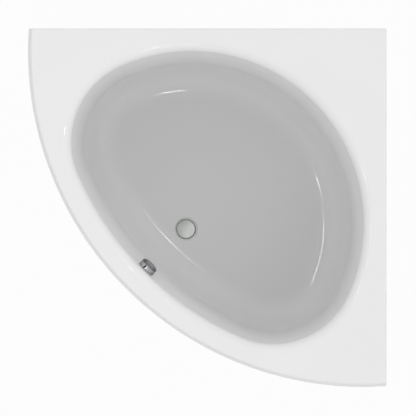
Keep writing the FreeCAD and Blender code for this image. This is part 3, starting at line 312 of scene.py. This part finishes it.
# %% [markdown]
# ### Moulded skin
# Vacuum-formed acrylic and moulded plastics are smooth, but the sheet's thickness, wiping and
# water leave a slow drift of tone, a faint orange-peel ripple and hazy patches in the gloss.

# %% Moulded skin
moulded_skin, take, give = new_group(
    "moulded_skin",
    [("Color", "Color", (0.8, 0.8, 0.8, 1)), ("Drift Color", "Color", (0.7, 0.7, 0.7, 1)),
     ("Patch Size", "Float", 0.3), ("Ripple Size", "Float", 0.006),
     ("Roughness", "Float", 0.1), ("Haze", "Float", 0.05)],
    [("Color", "Color"), ("Roughness", "Float"), ("Height", "Float")])
tree = moulded_skin
place = surface_place(tree)
patches = noise(tree, place, calc(tree, "DIVIDE", 1.0, take["Patch Size"]), 3.0, 0.4)
tree.links.new(blend_colors(tree, remap(tree, patches, 0.35, 0.65), take["Color"],
                            take["Drift Color"]), give["Color"])
wiped = noise(tree, vector_calc(tree, "MULTIPLY", place, (9.0, 30.0, 18.0)), 1.0, 4.0, 0.8)
feed(tree, give["Roughness"], calc(tree, "MULTIPLY_ADD", remap(tree, wiped, 0.45, 0.75),
                                   take["Haze"], take["Roughness"]))
feed(tree, give["Height"],
     noise(tree, place, calc(tree, "DIVIDE", 1.0, take["Ripple Size"]), 1.0))
print("group", moulded_skin.name)

# %% [markdown]
# ### Dust
# Under a bath nobody wipes.  Dust settles on faces that look up, thicker in some places, and
# it is pale and matt whatever it lies on.

# %% Dust
dust_color = (0.56, 0.53, 0.48, 1)
dust_roughness = 0.95
dust, take, give = new_group(
    "dust",
    [("Color", "Color", (0.5, 0.5, 0.5, 1)), ("Roughness", "Float", 0.5),
     ("Amount", "Float", 0.3)],
    [("Color", "Color"), ("Roughness", "Float"), ("Mask", "Float")])
tree = dust
place = surface_place(tree)
facing = split_xyz(tree, tree.nodes.new("ShaderNodeNewGeometry").outputs["Normal"])
upward = remap(tree, facing["Z"], 0.3, 1.0)
drifts = remap(tree, noise(tree, place, 22.0, 5.0, 0.5), 0.35, 0.70)
specks = remap(tree, noise(tree, place, 900.0, 1.0), 0.55, 0.75)
lying = calc(tree, "MULTIPLY", upward, calc(tree, "MULTIPLY_ADD", drifts, 0.8, 0.2))
mask = calc(tree, "MULTIPLY", calc(tree, "MULTIPLY_ADD", specks, 0.25, lying), take["Amount"],
            clamp=True)
feed(tree, give["Mask"], mask)
feed(tree, give["Color"], blend_colors(tree, mask, take["Color"], dust_color))
feed(tree, give["Roughness"], calc(tree, "MULTIPLY_ADD", calc(
    tree, "SUBTRACT", dust_roughness, take["Roughness"]), mask, take["Roughness"]))
print("group", dust.name)

# %% [markdown]
# ### Fine lines
# Drawn, rolled and turned metal carries hairlines.  A noise that is stretched along the
# direction of working gives them: its lines are long one way and packed the other way.

# %% Fine lines
fine_lines, take, give = new_group(
    "fine_lines",
    [("Color", "Color", (0.6, 0.6, 0.6, 1)), ("Line Color", "Color", (0.4, 0.4, 0.4, 1)),
     ("Stretch", "Vector", (1.0, 1.0, 0.05)), ("Density", "Float", 1500.0),
     ("Roughness", "Float", 0.3), ("Spread", "Float", 0.15)],
    [("Color", "Color"), ("Roughness", "Float"), ("Height", "Float")])
tree = fine_lines
along = vector_calc(tree, "MULTIPLY", surface_place(tree), take["Stretch"])
hair = noise(tree, along, take["Density"], 2.0)
stain = noise(tree, surface_place(tree), 35.0, 4.0, 0.6)
shade = calc(tree, "MULTIPLY", remap(tree, hair, 0.3, 0.7), remap(tree, stain, 0.3, 0.7, 0.3, 1.0))
feed(tree, give["Color"], blend_colors(tree, shade, take["Color"], take["Line Color"]))
feed(tree, give["Roughness"], calc(tree, "MULTIPLY_ADD", stain, take["Spread"],
                                   take["Roughness"]))
feed(tree, give["Height"], hair)
print("group", fine_lines.name)

# %% [markdown]
# ### Place about an axis
# The chrome of knob and drain changes its tone with the distance along or from the
# fitting's own axis.  This group turns a place on the surface into those two distances.

# %% Place about an axis
about_axis, take, give = new_group(
    "about_axis",
    [("Centre", "Vector", (0, 0, 0)), ("Axis", "Vector", (0, 0, 1))],
    [("Along", "Float"), ("Radius", "Float")])
tree = about_axis
arm = vector_calc(tree, "SUBTRACT", surface_place(tree), take["Centre"])
along = vector_calc(tree, "DOT_PRODUCT", arm, take["Axis"])
square = calc(tree, "POWER", vector_calc(tree, "LENGTH", arm), 2.0)
feed(tree, give["Along"], along)
feed(tree, give["Radius"], calc(tree, "SQRT", calc(
    tree, "MAXIMUM", calc(tree, "SUBTRACT", square, calc(tree, "POWER", along, 2.0)), 0.0)))
print("group", about_axis.name)

# %% [markdown]
# ## Starting a material
# Every finish starts from the same few lines: a Principled shader, its colour, roughness
# and bump.  Numbers that are the same all over are written on the shader's own sockets.
# Whatever lies under the bath has its colour and roughness passed through the dust.

# %% Starting a material
finishes = {}


def new_finish(name, metallic=0.0, coat=0.0, coat_roughness=0.03):
    """A new material.  Gives its node tree and the inputs of its Principled shader."""
    made = bpy.data.materials.new(name)
    made.use_nodes = True
    shader = made.node_tree.nodes["Principled BSDF"].inputs
    shader["Metallic"].default_value = metallic
    shader["Coat Weight"].default_value = coat
    shader["Coat Roughness"].default_value = coat_roughness
    finishes[name] = made
    return made.node_tree, shader


def bump(tree, shader, height, depth):
    """Relief of a real depth, in metres."""
    node = tree.nodes.new("ShaderNodeBump")
    node.inputs["Strength"].default_value = 1.0
    node.inputs["Distance"].default_value = depth
    feed(tree, node.inputs["Height"], height)
    tree.links.new(node.outputs[0], shader["Normal"])


def lay_dust(tree, shader, color, roughness, amount):
    """Colour and roughness reach the shader through the dust."""
    coated = use_group(tree, dust, Color=color, Roughness=roughness, Amount=amount)
    feed(tree, shader["Base Color"], coated["Color"])
    feed(tree, shader["Roughness"], coated["Roughness"])
    return coated


def moulded(name, color, drift, patch, ripple, roughness, haze, depth):
    """A finish that is only a moulded skin.  Acrylic, plastics and rubber are."""
    tree, shader = new_finish(name)
    skin = use_group(tree, moulded_skin, Color=(*color, 1), Drift_Color=(*drift, 1),
                     Patch_Size=patch, Ripple_Size=ripple, Roughness=roughness, Haze=haze)
    feed(tree, shader["Base Color"], skin["Color"])
    feed(tree, shader["Roughness"], skin["Roughness"])
    bump(tree, shader, skin["Height"], depth)
    return tree, shader, skin


# %% [markdown]
# ### White acrylic and moulded plastics
# The bath and its panel are white acrylic with a mirror-like skin, so the ripple is only a
# few micrometres deep.  The waste body, trap and pipe are duller white polypropylene.  The
# feet, plugs and seals are black, and rubber is the roughest of them.  The photograph's basin
# is as dark as if its walls hardly lit one another, so light that has already bounced finds
# a darker acrylic.

# %% Plastics
bounce_tone = 0.44
fitting_dust = 0.35
# name, color, drift color, size of patches and of ripple (m), roughness, haze, relief (m)
plastics = [
    ("acrylic", (0.800, 0.800, 0.800), (0.790, 0.790, 0.789), 0.35, 0.012, 0.07, 0.03, 4e-6),
    ("panel", (0.800, 0.800, 0.800), (0.788, 0.788, 0.787), 0.35, 0.012, 0.08, 0.04, 5e-6),
    ("foot", (0.045, 0.045, 0.047), (0.070, 0.070, 0.070), 0.02, 0.0012, 0.45, 0.20, 6e-5),
    ("plug_black", (0.035, 0.035, 0.036), (0.055, 0.055, 0.055), 0.02, 0.001, 0.50, 0.15, 5e-5),
    ("rubber", (0.030, 0.030, 0.030), (0.052, 0.051, 0.050), 0.01, 0.0008, 0.75, 0.15, 4e-5),
    ("fitting", (0.80, 0.80, 0.79), (0.74, 0.74, 0.72), 0.06, 0.0018, 0.32, 0.12, 3e-5),
    ("hose", (0.74, 0.74, 0.73), (0.66, 0.66, 0.64), 0.06, 0.0018, 0.32, 0.12, 4e-5),
]
for row in plastics:
    tree, shader, skin = moulded(*row)
    if row[0] == "acrylic":
        bounced = tree.nodes.new("ShaderNodeLightPath").outputs["Is Diffuse Ray"]
        feed(tree, shader["Base Color"], blend_colors(
            tree, bounced, skin["Color"], (bounce_tone, bounce_tone, bounce_tone, 1)))
    if row[0] in ("fitting", "hose"):
        lay_dust(tree, shader, skin["Color"], skin["Roughness"], fitting_dust)
print("plastics", len(plastics))

# %% [markdown]
# ### Chrome
# Bright chrome shows whatever is round it, and the photograph's room isn't here to be
# mirrored.  So each fitting's chrome has a painted reflection, with painted shade where parts
# meet: it goes from a bright to a dark tone by a mask of its own.  The masks follow the
# distance along or from the fitting's own axis, so they stay with it when it moves.

# %% Chrome
chrome_ripple = 8e-6


def chrome(name, bright, dark, share_of_painted_dark, roughness=0.09):
    """Chrome with painted reflection and shade: its tone goes from bright to dark where the mask
    is high.
    """
    tree, shader = new_finish(name, metallic=1.0)
    skin = use_group(tree, moulded_skin, Color=(*bright, 1),
                     Drift_Color=tuple(0.9 * part for part in bright) + (1,), Patch_Size=0.012,
                     Ripple_Size=0.003, Roughness=roughness, Haze=0.10)
    tone = blend_colors(tree, share_of_painted_dark(tree), skin["Color"], (*dark, 1))
    feed(tree, shader["Base Color"], tone)
    feed(tree, shader["Roughness"], skin["Roughness"])
    bump(tree, shader, skin["Height"], chrome_ripple)
    return tree, shader, tone


print("chrome ripple", chrome_ripple, "m deep")

# %% [markdown]
# ### Drum behind the knob
# The knob turns in front of a short drum on the basin's wall.  In the photograph the drum is
# pale with a darker outline and some dark mottling, and a slot in it looks black.  The outline
# and mottling are a painted reflection, its two ends carry painted shade, and its inside is
# filled with a black, non-metallic painted shade, as its slot shows.  It is rougher than the
# knob, or it would mirror the lamps as white spots that the photograph doesn't have.

# %% Drum behind the knob
knob_centre = (-0.240524, -0.240524, 0.49)
knob_axis = (0.698401, 0.698401, 0.156434)
drum_right = (0.7071, -0.7071, 0.0)     # along the wall, towards the picture's lower right
# metres along the knob's axis from the basin's wall: painted shade at the drum's two ends, and
# where the painted shade inside it ends
drum_at_wall = (0.001, 0.006)
drum_at_knob = (0.0165, 0.0195)
drum_front = (0.0202, 0.0208)
# metres from the knob's axis: the darker outline of painted reflection at the drum's sides, and
# the edge of the painted shade inside it
drum_limb = (0.026, 0.034)
drum_skin = (0.0338, 0.0346)
# painted shade that fills the drum's inside and shows black in its slot
drum_slot_shade_color = (0.012, 0.012, 0.012, 1)


def about_knob(tree):
    return use_group(tree, about_axis, Centre=knob_centre, Axis=knob_axis)


def housing_shade_and_reflection(tree):
    """Painted shade at both ends of the drum, and painted reflection: darker at its sides and
    mottled towards its right-hand side.
    """
    along = about_knob(tree)["Along"]
    # painted shade at both ends of the drum, where it meets the wall and the knob
    ends = calc(tree, "MAXIMUM", remap(tree, along, *drum_at_wall, 0.75, 0.0, smooth=True),
                remap(tree, along, *drum_at_knob, 0.0, 0.7, smooth=True))
    side = vector_calc(tree, "DOT_PRODUCT", surface_place(tree), drum_right)
    # painted reflection: dark mottling towards the right-hand side, and a darker outline at the
    # sides
    patch = remap(tree, noise(tree, surface_place(tree), 190.0, 2.0, 1.2), 0.46, 0.60)
    mottled = calc(tree, "MULTIPLY", patch, remap(tree, side, -0.004, 0.006, 0.15, 0.6))
    limb = remap(tree, calc(tree, "ABSOLUTE", side), *drum_limb, 0.0, 0.7)
    return calc(tree, "MAXIMUM", limb, calc(tree, "MAXIMUM", ends, mottled))


tree, shader, tone = chrome("housing_chrome", (0.50, 0.50, 0.51), (0.13, 0.13, 0.135),
                            housing_shade_and_reflection, 0.2)
about = about_knob(tree)
# a black, non-metallic painted shade fills the drum's inside
in_slot_shade = calc(tree, "MULTIPLY", remap(tree, about["Radius"], *drum_skin, 1.0, 0.0),
              remap(tree, about["Along"], *drum_front, 1.0, 0.0))
feed(tree, shader["Base Color"], blend_colors(tree, in_slot_shade, tone, drum_slot_shade_color))
feed(tree, shader["Metallic"], calc(tree, "SUBTRACT", 1.0, in_slot_shade))
print("drum's inside reaches", drum_skin[0], "m from its axis")

# %% [markdown]
# ### Knob
# The knob is dark grey all over, a painted reflection, with an even darker painted shade on
# the ridge where it meets the drum.  Cloudy patches between its two tones break up what would
# be a flat grey.

# %% Knob
# the ridge of painted shade next to the drum
knob_shade_ridge = (0.0215, 0.0235)           # metres along the knob's axis from the basin's wall


def knob_reflection_and_shade(tree):
    """Painted shade, darkest on the ridge next to the drum, over cloudy patches of painted
    reflection.
    """
    ridge = remap(tree, about_knob(tree)["Along"], *knob_shade_ridge, 1.0, 0.0, smooth=True)
    patch = remap(tree, noise(tree, surface_place(tree), 160.0, 3.0, 1.0), 0.40, 0.65, 0.0, 0.6)
    return calc(tree, "MAXIMUM", ridge, patch)


chrome("knob_chrome", (0.22, 0.22, 0.23), (0.12, 0.12, 0.125), knob_reflection_and_shade)
print("knob's ridge ends", knob_shade_ridge[1], "m from the wall")

# %% [markdown]
# ### Drain ring and cap
# The drain's cap is a shallow chrome dome that sits in a ring, dark by a painted reflection
# and darkest by painted shade in the step round the cap.  A dome shows one side of the room
# brighter than the other, so its tone slopes across it, a painted reflection.  The cap is
# rougher than the ring for the same reason as the drum.

# %% Drain ring and cap
drain_centre = (-0.084004, -0.084004, 0.0)
drain_axis = (0, 0, 1)
cap_dark_side = (-0.85, 0.53, 0.0)
# metres from the drain's axis; the ring's step is where its painted shade is darkest
ring_shade_step = (0.0365, 0.0350)
cap_edge = (0.0325, 0.0350)
cap_slope = (-0.026, 0.034)


def about_drain(tree):
    return use_group(tree, about_axis, Centre=drain_centre, Axis=drain_axis)


def ring_reflection_and_shade(tree):
    """Patches of painted reflection, and painted shade darkest in the step round the cap."""
    patch = remap(tree, noise(tree, surface_place(tree), 60.0, 2.0, 0.5), 0.35, 0.65, 0.4, 0.9)
    return calc(tree, "MAXIMUM", patch, remap(tree, about_drain(tree)["Radius"], *ring_shade_step))


def cap_tones(tree):
    """Darker towards its upper left and its edge, as a shallow dome's mirror image is."""
    side = vector_calc(tree, "DOT_PRODUCT", vector_calc(
        tree, "SUBTRACT", surface_place(tree), drain_centre), cap_dark_side)
    slope = remap(tree, side, *cap_slope, 0.0, 0.85, smooth=True)
    clouds = remap(tree, noise(tree, surface_place(tree), 28.0, 3.0, 0.6), 0.35, 0.65)
    edge = remap(tree, about_drain(tree)["Radius"], *cap_edge, 0.0, 0.7, smooth=True)
    return calc(tree, "MAXIMUM", calc(tree, "MULTIPLY_ADD", clouds, 0.15, slope), edge)


chrome("ring_chrome", (0.36, 0.37, 0.36), (0.15, 0.155, 0.15), ring_reflection_and_shade)
chrome("cap_chrome", (0.54, 0.56, 0.54), (0.28, 0.29, 0.28), cap_tones, 0.42)
print("ring's step", ring_shade_step[1], "m from the drain's axis")

# %% [markdown]
# ### Zinc, stainless steel and brass
# The frame is zinc-plated tube: bluish grey, with dust on top.  Fasteners are the same zinc,
# brighter.  Rods, pins and the stem show lathe lines.  One function makes them all, because
# they differ only in colour, in how fine their lines are and in how much dust they carry.

# %% Metals
def worked_metal(name, color, line, stretch, density, roughness, spread, dusty, depth):
    """Lines along or round the piece, with dust on top that hides the metal."""
    tree, shader = new_finish(name, metallic=1.0)
    lines = use_group(tree, fine_lines, Color=(*color, 1), Line_Color=(*line, 1),
                      Stretch=(1.0, 1.0, stretch), Density=density, Roughness=roughness,
                      Spread=spread)
    coated = lay_dust(tree, shader, lines["Color"], lines["Roughness"], dusty)
    feed(tree, shader["Metallic"], calc(tree, "SUBTRACT", 1.0, coated["Mask"], clamp=True))
    bump(tree, shader, lines["Height"], depth)
    return tree, shader, coated["Color"]


# name, color, line color, stretch along z, density, roughness, its spread, dust, relief (m)
metals = [
    ("steel", (0.60, 0.62, 0.65), (0.46, 0.48, 0.51), 0.15, 700.0, 0.34, 0.20, 0.55, 6e-6),
    ("bolt", (0.66, 0.66, 0.64), (0.50, 0.49, 0.45), 0.10, 2500.0, 0.26, 0.20, 0.25, 8e-6),
    ("stainless", (0.60, 0.60, 0.59), (0.46, 0.46, 0.45), 0.08, 2500.0, 0.20, 0.20, 0.20, 6e-6),
    ("brass", (0.78, 0.60, 0.30), (0.55, 0.40, 0.18), 0.10, 2500.0, 0.20, 0.25, 0.10, 8e-6),
    ("threaded", (0.64, 0.64, 0.62), (0.46, 0.45, 0.42), 1.00, 900.0, 0.28, 0.20, 0.30, 8e-6),
]
metal = {row[0]: worked_metal(*row) for row in metals}
print("metals", len(metal))

# %% [markdown]
# ### Crystals in the frame's zinc
# Zinc that sets on steel grows flat crystals about a centimetre wide, each a little lighter
# or darker than the next.  Cells with a tone of their own look just like them.

# %% Crystals in the frame's zinc
crystals_per_metre = 110.0
tree, shader, color = metal["steel"]
spangle = remap(tree, cells(tree, surface_place(tree), crystals_per_metre)[0],
                0.0, 1.0, 0.0, 0.35)
feed(tree, shader["Base Color"], blend_colors(tree, spangle, color, (0.44, 0.47, 0.51, 1)))
print("crystals", crystals_per_metre, "to a metre")

# %% [markdown]
# ### Thread of the levelling rods
# The rods have a 1.75 mm thread, which nobody would model at this size.  A wave along the
# rod's height, one for each turn, gives relief instead.  Its grooves are darker.

# %% Thread of the levelling rods
thread_pitch = 0.00175
thread_relief = 0.0011
tree, shader, color = metal["threaded"]
turns = calc(tree, "MULTIPLY", split_xyz(tree, surface_place(tree))["Z"], 1.0 / thread_pitch)
tooth = calc(tree, "PINGPONG", turns, 0.5)
groove = remap(tree, tooth, 0.05, 0.25, 0.55, 0.0)
bump(tree, shader, tooth, thread_relief)
feed(tree, shader["Base Color"], blend_colors(tree, groove, color, (0.16, 0.155, 0.15, 1)))
print("thread pitch", thread_pitch)

# %% [markdown]
# ### Glass-fibre backing
# Behind the acrylic is a layer of chopped glass strands in polyester resin, sprayed on and
# rolled.  Short pale strands lie in every direction in a cream, half-clear resin.  Four
# stretched noises, each turned another way, give strands that cross at all angles.

# %% Glass-fibre backing
strand_turns = ((0.3, 0.2, 0.4), (1.1, 0.5, 1.2), (0.4, 1.2, 2.1), (1.9, 0.9, 2.9))
strand_stretch = (34.0, 420.0, 420.0)
strand_color = (0.82, 0.82, 0.78, 1)
strand_relief = 0.0006
backing_dust = 0.35

tree, shader = new_finish("glassfibre", coat=0.25, coat_roughness=0.3)
place = surface_place(tree)
strands = None
for turn in strand_turns:
    swing = tree.nodes.new("ShaderNodeVectorRotate")
    swing.rotation_type = "EULER_XYZ"
    feed(tree, swing.inputs["Vector"], place)
    swing.inputs["Rotation"].default_value = turn
    drawn = vector_calc(tree, "MULTIPLY", swing.outputs[0], strand_stretch)
    layer = remap(tree, noise(tree, drawn, 1.0, 1.0, 0.3), 0.56, 0.68)
    strands = layer if strands is None else calc(tree, "MAXIMUM", strands, layer)
pooled = remap(tree, noise(tree, place, 14.0, 4.0, 0.8), 0.3, 0.7)
resin = blend_colors(tree, pooled, (0.60, 0.58, 0.46, 1), (0.70, 0.69, 0.60, 1))
bare = blend_colors(tree, calc(tree, "MULTIPLY", strands, 0.75), resin, strand_color)
lay_dust(tree, shader, bare, remap(tree, pooled, 0.0, 1.0, 0.38, 0.62), backing_dust)
lumps = calc(tree, "MULTIPLY_ADD", noise(tree, place, 70.0, 3.0), 1.2, strands)
bump(tree, shader, lumps, strand_relief)
print("glass fibre with", len(strand_turns), "directions of strands")

# %% [markdown]
# ### Chipboard
# The base board is chipboard: pressed flakes of many browns.  Its flakes are cells, each
# with its own tone.  Two sets of cells that are stretched different ways lie over each other,
# so that no single pattern shows.

# %% Chipboard
flakes_per_metre = 130.0
chips_per_metre = 260.0
dark_flake, pale_flake = (0.36, 0.23, 0.11, 1), (0.70, 0.53, 0.33, 1)
board_roughness = 0.68
board_relief = 0.00025
board_dust = 0.4

tree, shader = new_finish("board")
place = surface_place(tree)
flakes = cells(tree, vector_calc(tree, "MULTIPLY", place, (1.0, 1.6, 2.2)), flakes_per_metre)
chips = cells(tree, vector_calc(tree, "MULTIPLY", place, (1.9, 1.0, 2.2)), chips_per_metre)
tone = calc(tree, "MULTIPLY_ADD", flakes[0], 0.6, calc(tree, "MULTIPLY", chips[1], 0.4))
brown = blend_colors(tree, tone, dark_flake, pale_flake)
fine = remap(tree, noise(tree, place, 900.0, 2.0), 0.35, 0.75, 0.0, 0.35)
lay_dust(tree, shader, blend_colors(tree, fine, brown, (0.25, 0.16, 0.08, 1)),
         board_roughness, board_dust)
bump(tree, shader, tone, board_relief)
print("chipboard with", flakes_per_metre, "flakes to a metre")

# %% [markdown]
# ### Softwood
# Planed softwood is pale early wood and narrow darker late wood, in long wavering lines along
# the grain.  A noise that is stretched along the grain and folded to and fro draws them.

# %% Softwood
ring_stretch = (1.2, 26.0, 26.0)
rings_in_sway = 9.0
fibre_stretch = (30.0, 1400.0, 1400.0)

softwood, take, give = new_group(
    "softwood", [("Place", "Vector", (0, 0, 0))],
    [("Color", "Color"), ("Roughness", "Float"), ("Height", "Float")])
tree = softwood
# a place is along the grain first, in metres, and the rings are packed across it
drawn = vector_calc(tree, "MULTIPLY", take["Place"], ring_stretch)
sway = noise(tree, drawn, 1.0, 3.0, 0.5)
rings = calc(tree, "PINGPONG", calc(tree, "MULTIPLY", sway, rings_in_sway), 0.5)
late = remap(tree, rings, 0.28, 0.5, 0.0, 1.0, smooth=True)
fibre = noise(tree, vector_calc(tree, "MULTIPLY", take["Place"], fibre_stretch), 1.0, 2.0)
pale = blend_colors(tree, remap(tree, fibre, 0.3, 0.7), (0.72, 0.53, 0.31, 1),
                    (0.62, 0.43, 0.23, 1))
feed(tree, give["Color"], blend_colors(tree, calc(tree, "MULTIPLY", late, 0.7), pale,
                                       (0.42, 0.24, 0.10, 1)))
feed(tree, give["Roughness"], remap(tree, late, 0.0, 1.0, 0.66, 0.5))
feed(tree, give["Height"], calc(tree, "MULTIPLY_ADD", fibre, 0.5, late))
print("group", softwood.name)

# %% [markdown]
# ### Battens
# The grain runs along each batten, and the softwood group takes a place with the grain first.
# So the batten that lies along y needs its axes in another order.  The bowed batten is sawn
# from a plank glued up round the curve, so its lines follow the arc about the bow's centre.

# %% Battens
timber_relief = 0.00012
timber_dust = 0.3
bow_centre = (0.61, 0.61, 0.0)
bow_batten_radius = 1.2


def timber(name, grain_place):
    tree, shader = new_finish(name)
    wood = use_group(tree, softwood, Place=grain_place(tree))
    lay_dust(tree, shader, wood["Color"], wood["Roughness"], timber_dust)
    bump(tree, shader, wood["Height"], timber_relief)


def join_xyz(tree, *parts):
    node = tree.nodes.new("ShaderNodeCombineXYZ")
    for socket, value in zip(node.inputs, parts):
        feed(tree, socket, value)
    return node.outputs[0]


def reordered(tree, order):
    """The surface place with its axes in another order, so the grain runs along the first."""
    split = split_xyz(tree, surface_place(tree))
    return join_xyz(tree, *(split[axis] for axis in order))


def round_the_bow(tree):
    """Along the arc, out from its centre, and up."""
    arm = vector_calc(tree, "SUBTRACT", surface_place(tree), bow_centre)
    split = split_xyz(tree, arm)
    flat = vector_calc(tree, "LENGTH", vector_calc(tree, "MULTIPLY", arm, (1, 1, 0)))
    angle = calc(tree, "ARCTAN2", calc(tree, "MULTIPLY", split[1], -1.0),
                 calc(tree, "MULTIPLY", split[0], -1.0))
    return join_xyz(tree, calc(tree, "MULTIPLY", angle, bow_batten_radius), flat, split[2])


timber("timber_x", lambda tree: reordered(tree, (0, 1, 2)))
timber("timber_y", lambda tree: reordered(tree, (1, 0, 2)))
timber("timber_bow", round_the_bow)
print("softwood in three grain directions")

# %% [markdown]
# ## Finishes on the CAD nodes
# The shapes of the CAD nodes are right, so they stay and only get their finish.  The record
# names a material slot for each node, and the finish has the same name.  Some nodes have a
# finish of their own: the chrome fittings with their masks, the battens with their grain, and
# the feet's rods with their thread.

# %% Finishes on the CAD nodes
by_node = {
    "overflow_housing": "housing_chrome", "overflow_knob": "knob_chrome",
    "waste_flange": "ring_chrome", "plug_cap": "cap_chrome",
    "batten_x_wall": "timber_y", "batten_y_wall": "timber_x", "front_batten": "timber_bow",
}
for entry in frame["record"]["subparts"]:
    node = entry["node"]
    wanted = by_node.get(node, entry["material_slot"])
    if node.startswith("foot_rod"):
        wanted = "threaded"
    mesh = nodes[node].data
    mesh.materials.clear()
    mesh.materials.append(finishes[wanted])
print("finishes", len(finishes))

# %% [markdown]
# ## The overflow hose
# A ribbed hose leads from the overflow down behind the basin and along to the waste.  Both
# its ends are pushed over spigots and clamped, so it is held and doesn't hang free.  It is
# drawn as rings along its centre line: straight down, a quarter turn, and level.  A ring's
# radius follows the rib at its place, with rounded crests and valleys that a few straight
# steps could not give.

# %% Line and radius of the hose
# all in mm
hose_top_place = (1362.10, 446.0)   # along the diagonal from the room corner, and height
hose_level = 111.2
hose_end_along = 1160.26
hose_bend = 95.0
hose_cuff = 24.0
cuff_edge = 0.8
hose_ribs = 64
crest_radius = 18.5
valley_radius = 16.2
bore_radius = 14.5
rib_start = 0.13            # share of a rib before the first valley
rib_fullness = 0.6          # under 1, crests are fuller than valleys
half_side = 700.0

hose_drop = hose_top_place[1] - hose_level - hose_bend
hose_arc = hose_bend * math.pi / 2
hose_length = hose_drop + hose_arc + hose_top_place[0] - hose_bend - hose_end_along


def on_diagonal(along, across, height):
    """From the diagonal's frame in millimetres to the bath's frame in metres."""
    return Vector((half_side - (along - across) / math.sqrt(2),
                   half_side - (along + across) / math.sqrt(2), height)) / 1000


def hose_station(run):
    """Centre (along, height) and outward direction at a run down the hose, in mm."""
    if run <= hose_drop:
        return (hose_top_place[0], hose_top_place[1] - run), (1.0, 0.0)
    if run >= hose_drop + hose_arc:
        level_run = run - hose_drop - hose_arc
        return (hose_top_place[0] - hose_bend - level_run, hose_level), (0.0, -1.0)
    turn = (run - hose_drop) / hose_bend
    out = (math.cos(turn), -math.sin(turn))
    return (hose_top_place[0] - hose_bend + out[0] * hose_bend,
            hose_level + hose_bend + out[1] * hose_bend), out


def hose_radius(run):
    """The outer radius, in mm: plain on the cuffs, ribbed between them."""
    ribbed = hose_length - 2 * hose_cuff
    if run < hose_cuff or run > hose_length - hose_cuff:
        return crest_radius
    phase = (run - hose_cuff) / ribbed * hose_ribs
    swell = 0.5 - 0.5 * math.cos(2 * math.pi * (phase - rib_start))
    return valley_radius + (crest_radius - valley_radius) * (swell ** rib_fullness)


print("hose", round(hose_length, 1), "mm long with", hose_ribs, "ribs")

# %% Hose from its rings
around = 40
rib_steps = 8
inside_steps = 40

outside = [(0.0, crest_radius), (hose_cuff - cuff_edge, crest_radius)]
for k in range(hose_ribs * rib_steps + 1):
    run = hose_cuff + (hose_length - 2 * hose_cuff) * k / (hose_ribs * rib_steps)
    outside.append((run, hose_radius(run)))
outside += [(hose_length - hose_cuff + cuff_edge, crest_radius), (hose_length, crest_radius)]
inside = [(hose_length * (1 - k / inside_steps), bore_radius) for k in range(inside_steps + 1)]

skin = bmesh.new()
loops = []
for run, radius in outside + inside:
    (along, height), out = hose_station(run)
    loop = []
    for k in range(around):
        angle = 2 * math.pi * k / around
        reach = radius * math.cos(angle)
        loop.append(skin.verts.new(on_diagonal(along + out[0] * reach, radius * math.sin(angle),
                                               height + out[1] * reach)))
    loops.append(loop)
for first, second in zip(loops, loops[1:] + loops[:1]):
    for k in range(around):
        after = (k + 1) % around
        skin.faces.new((first[k], first[after], second[after], second[k]))
bmesh.ops.recalc_face_normals(skin, faces=skin.faces)
for face in skin.faces:
    face.smooth = True
mesh = bpy.data.meshes.new("ribbed_hose")
skin.to_mesh(mesh)
skin.free()
mesh.materials.append(finishes["hose"])
ribbed_hose = bpy.data.objects.new("ribbed_hose", mesh)
bpy.context.scene.collection.objects.link(ribbed_hose)
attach(ribbed_hose, "tub")
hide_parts("overflow_hose")
print("hose of", len(mesh.vertices), "points")
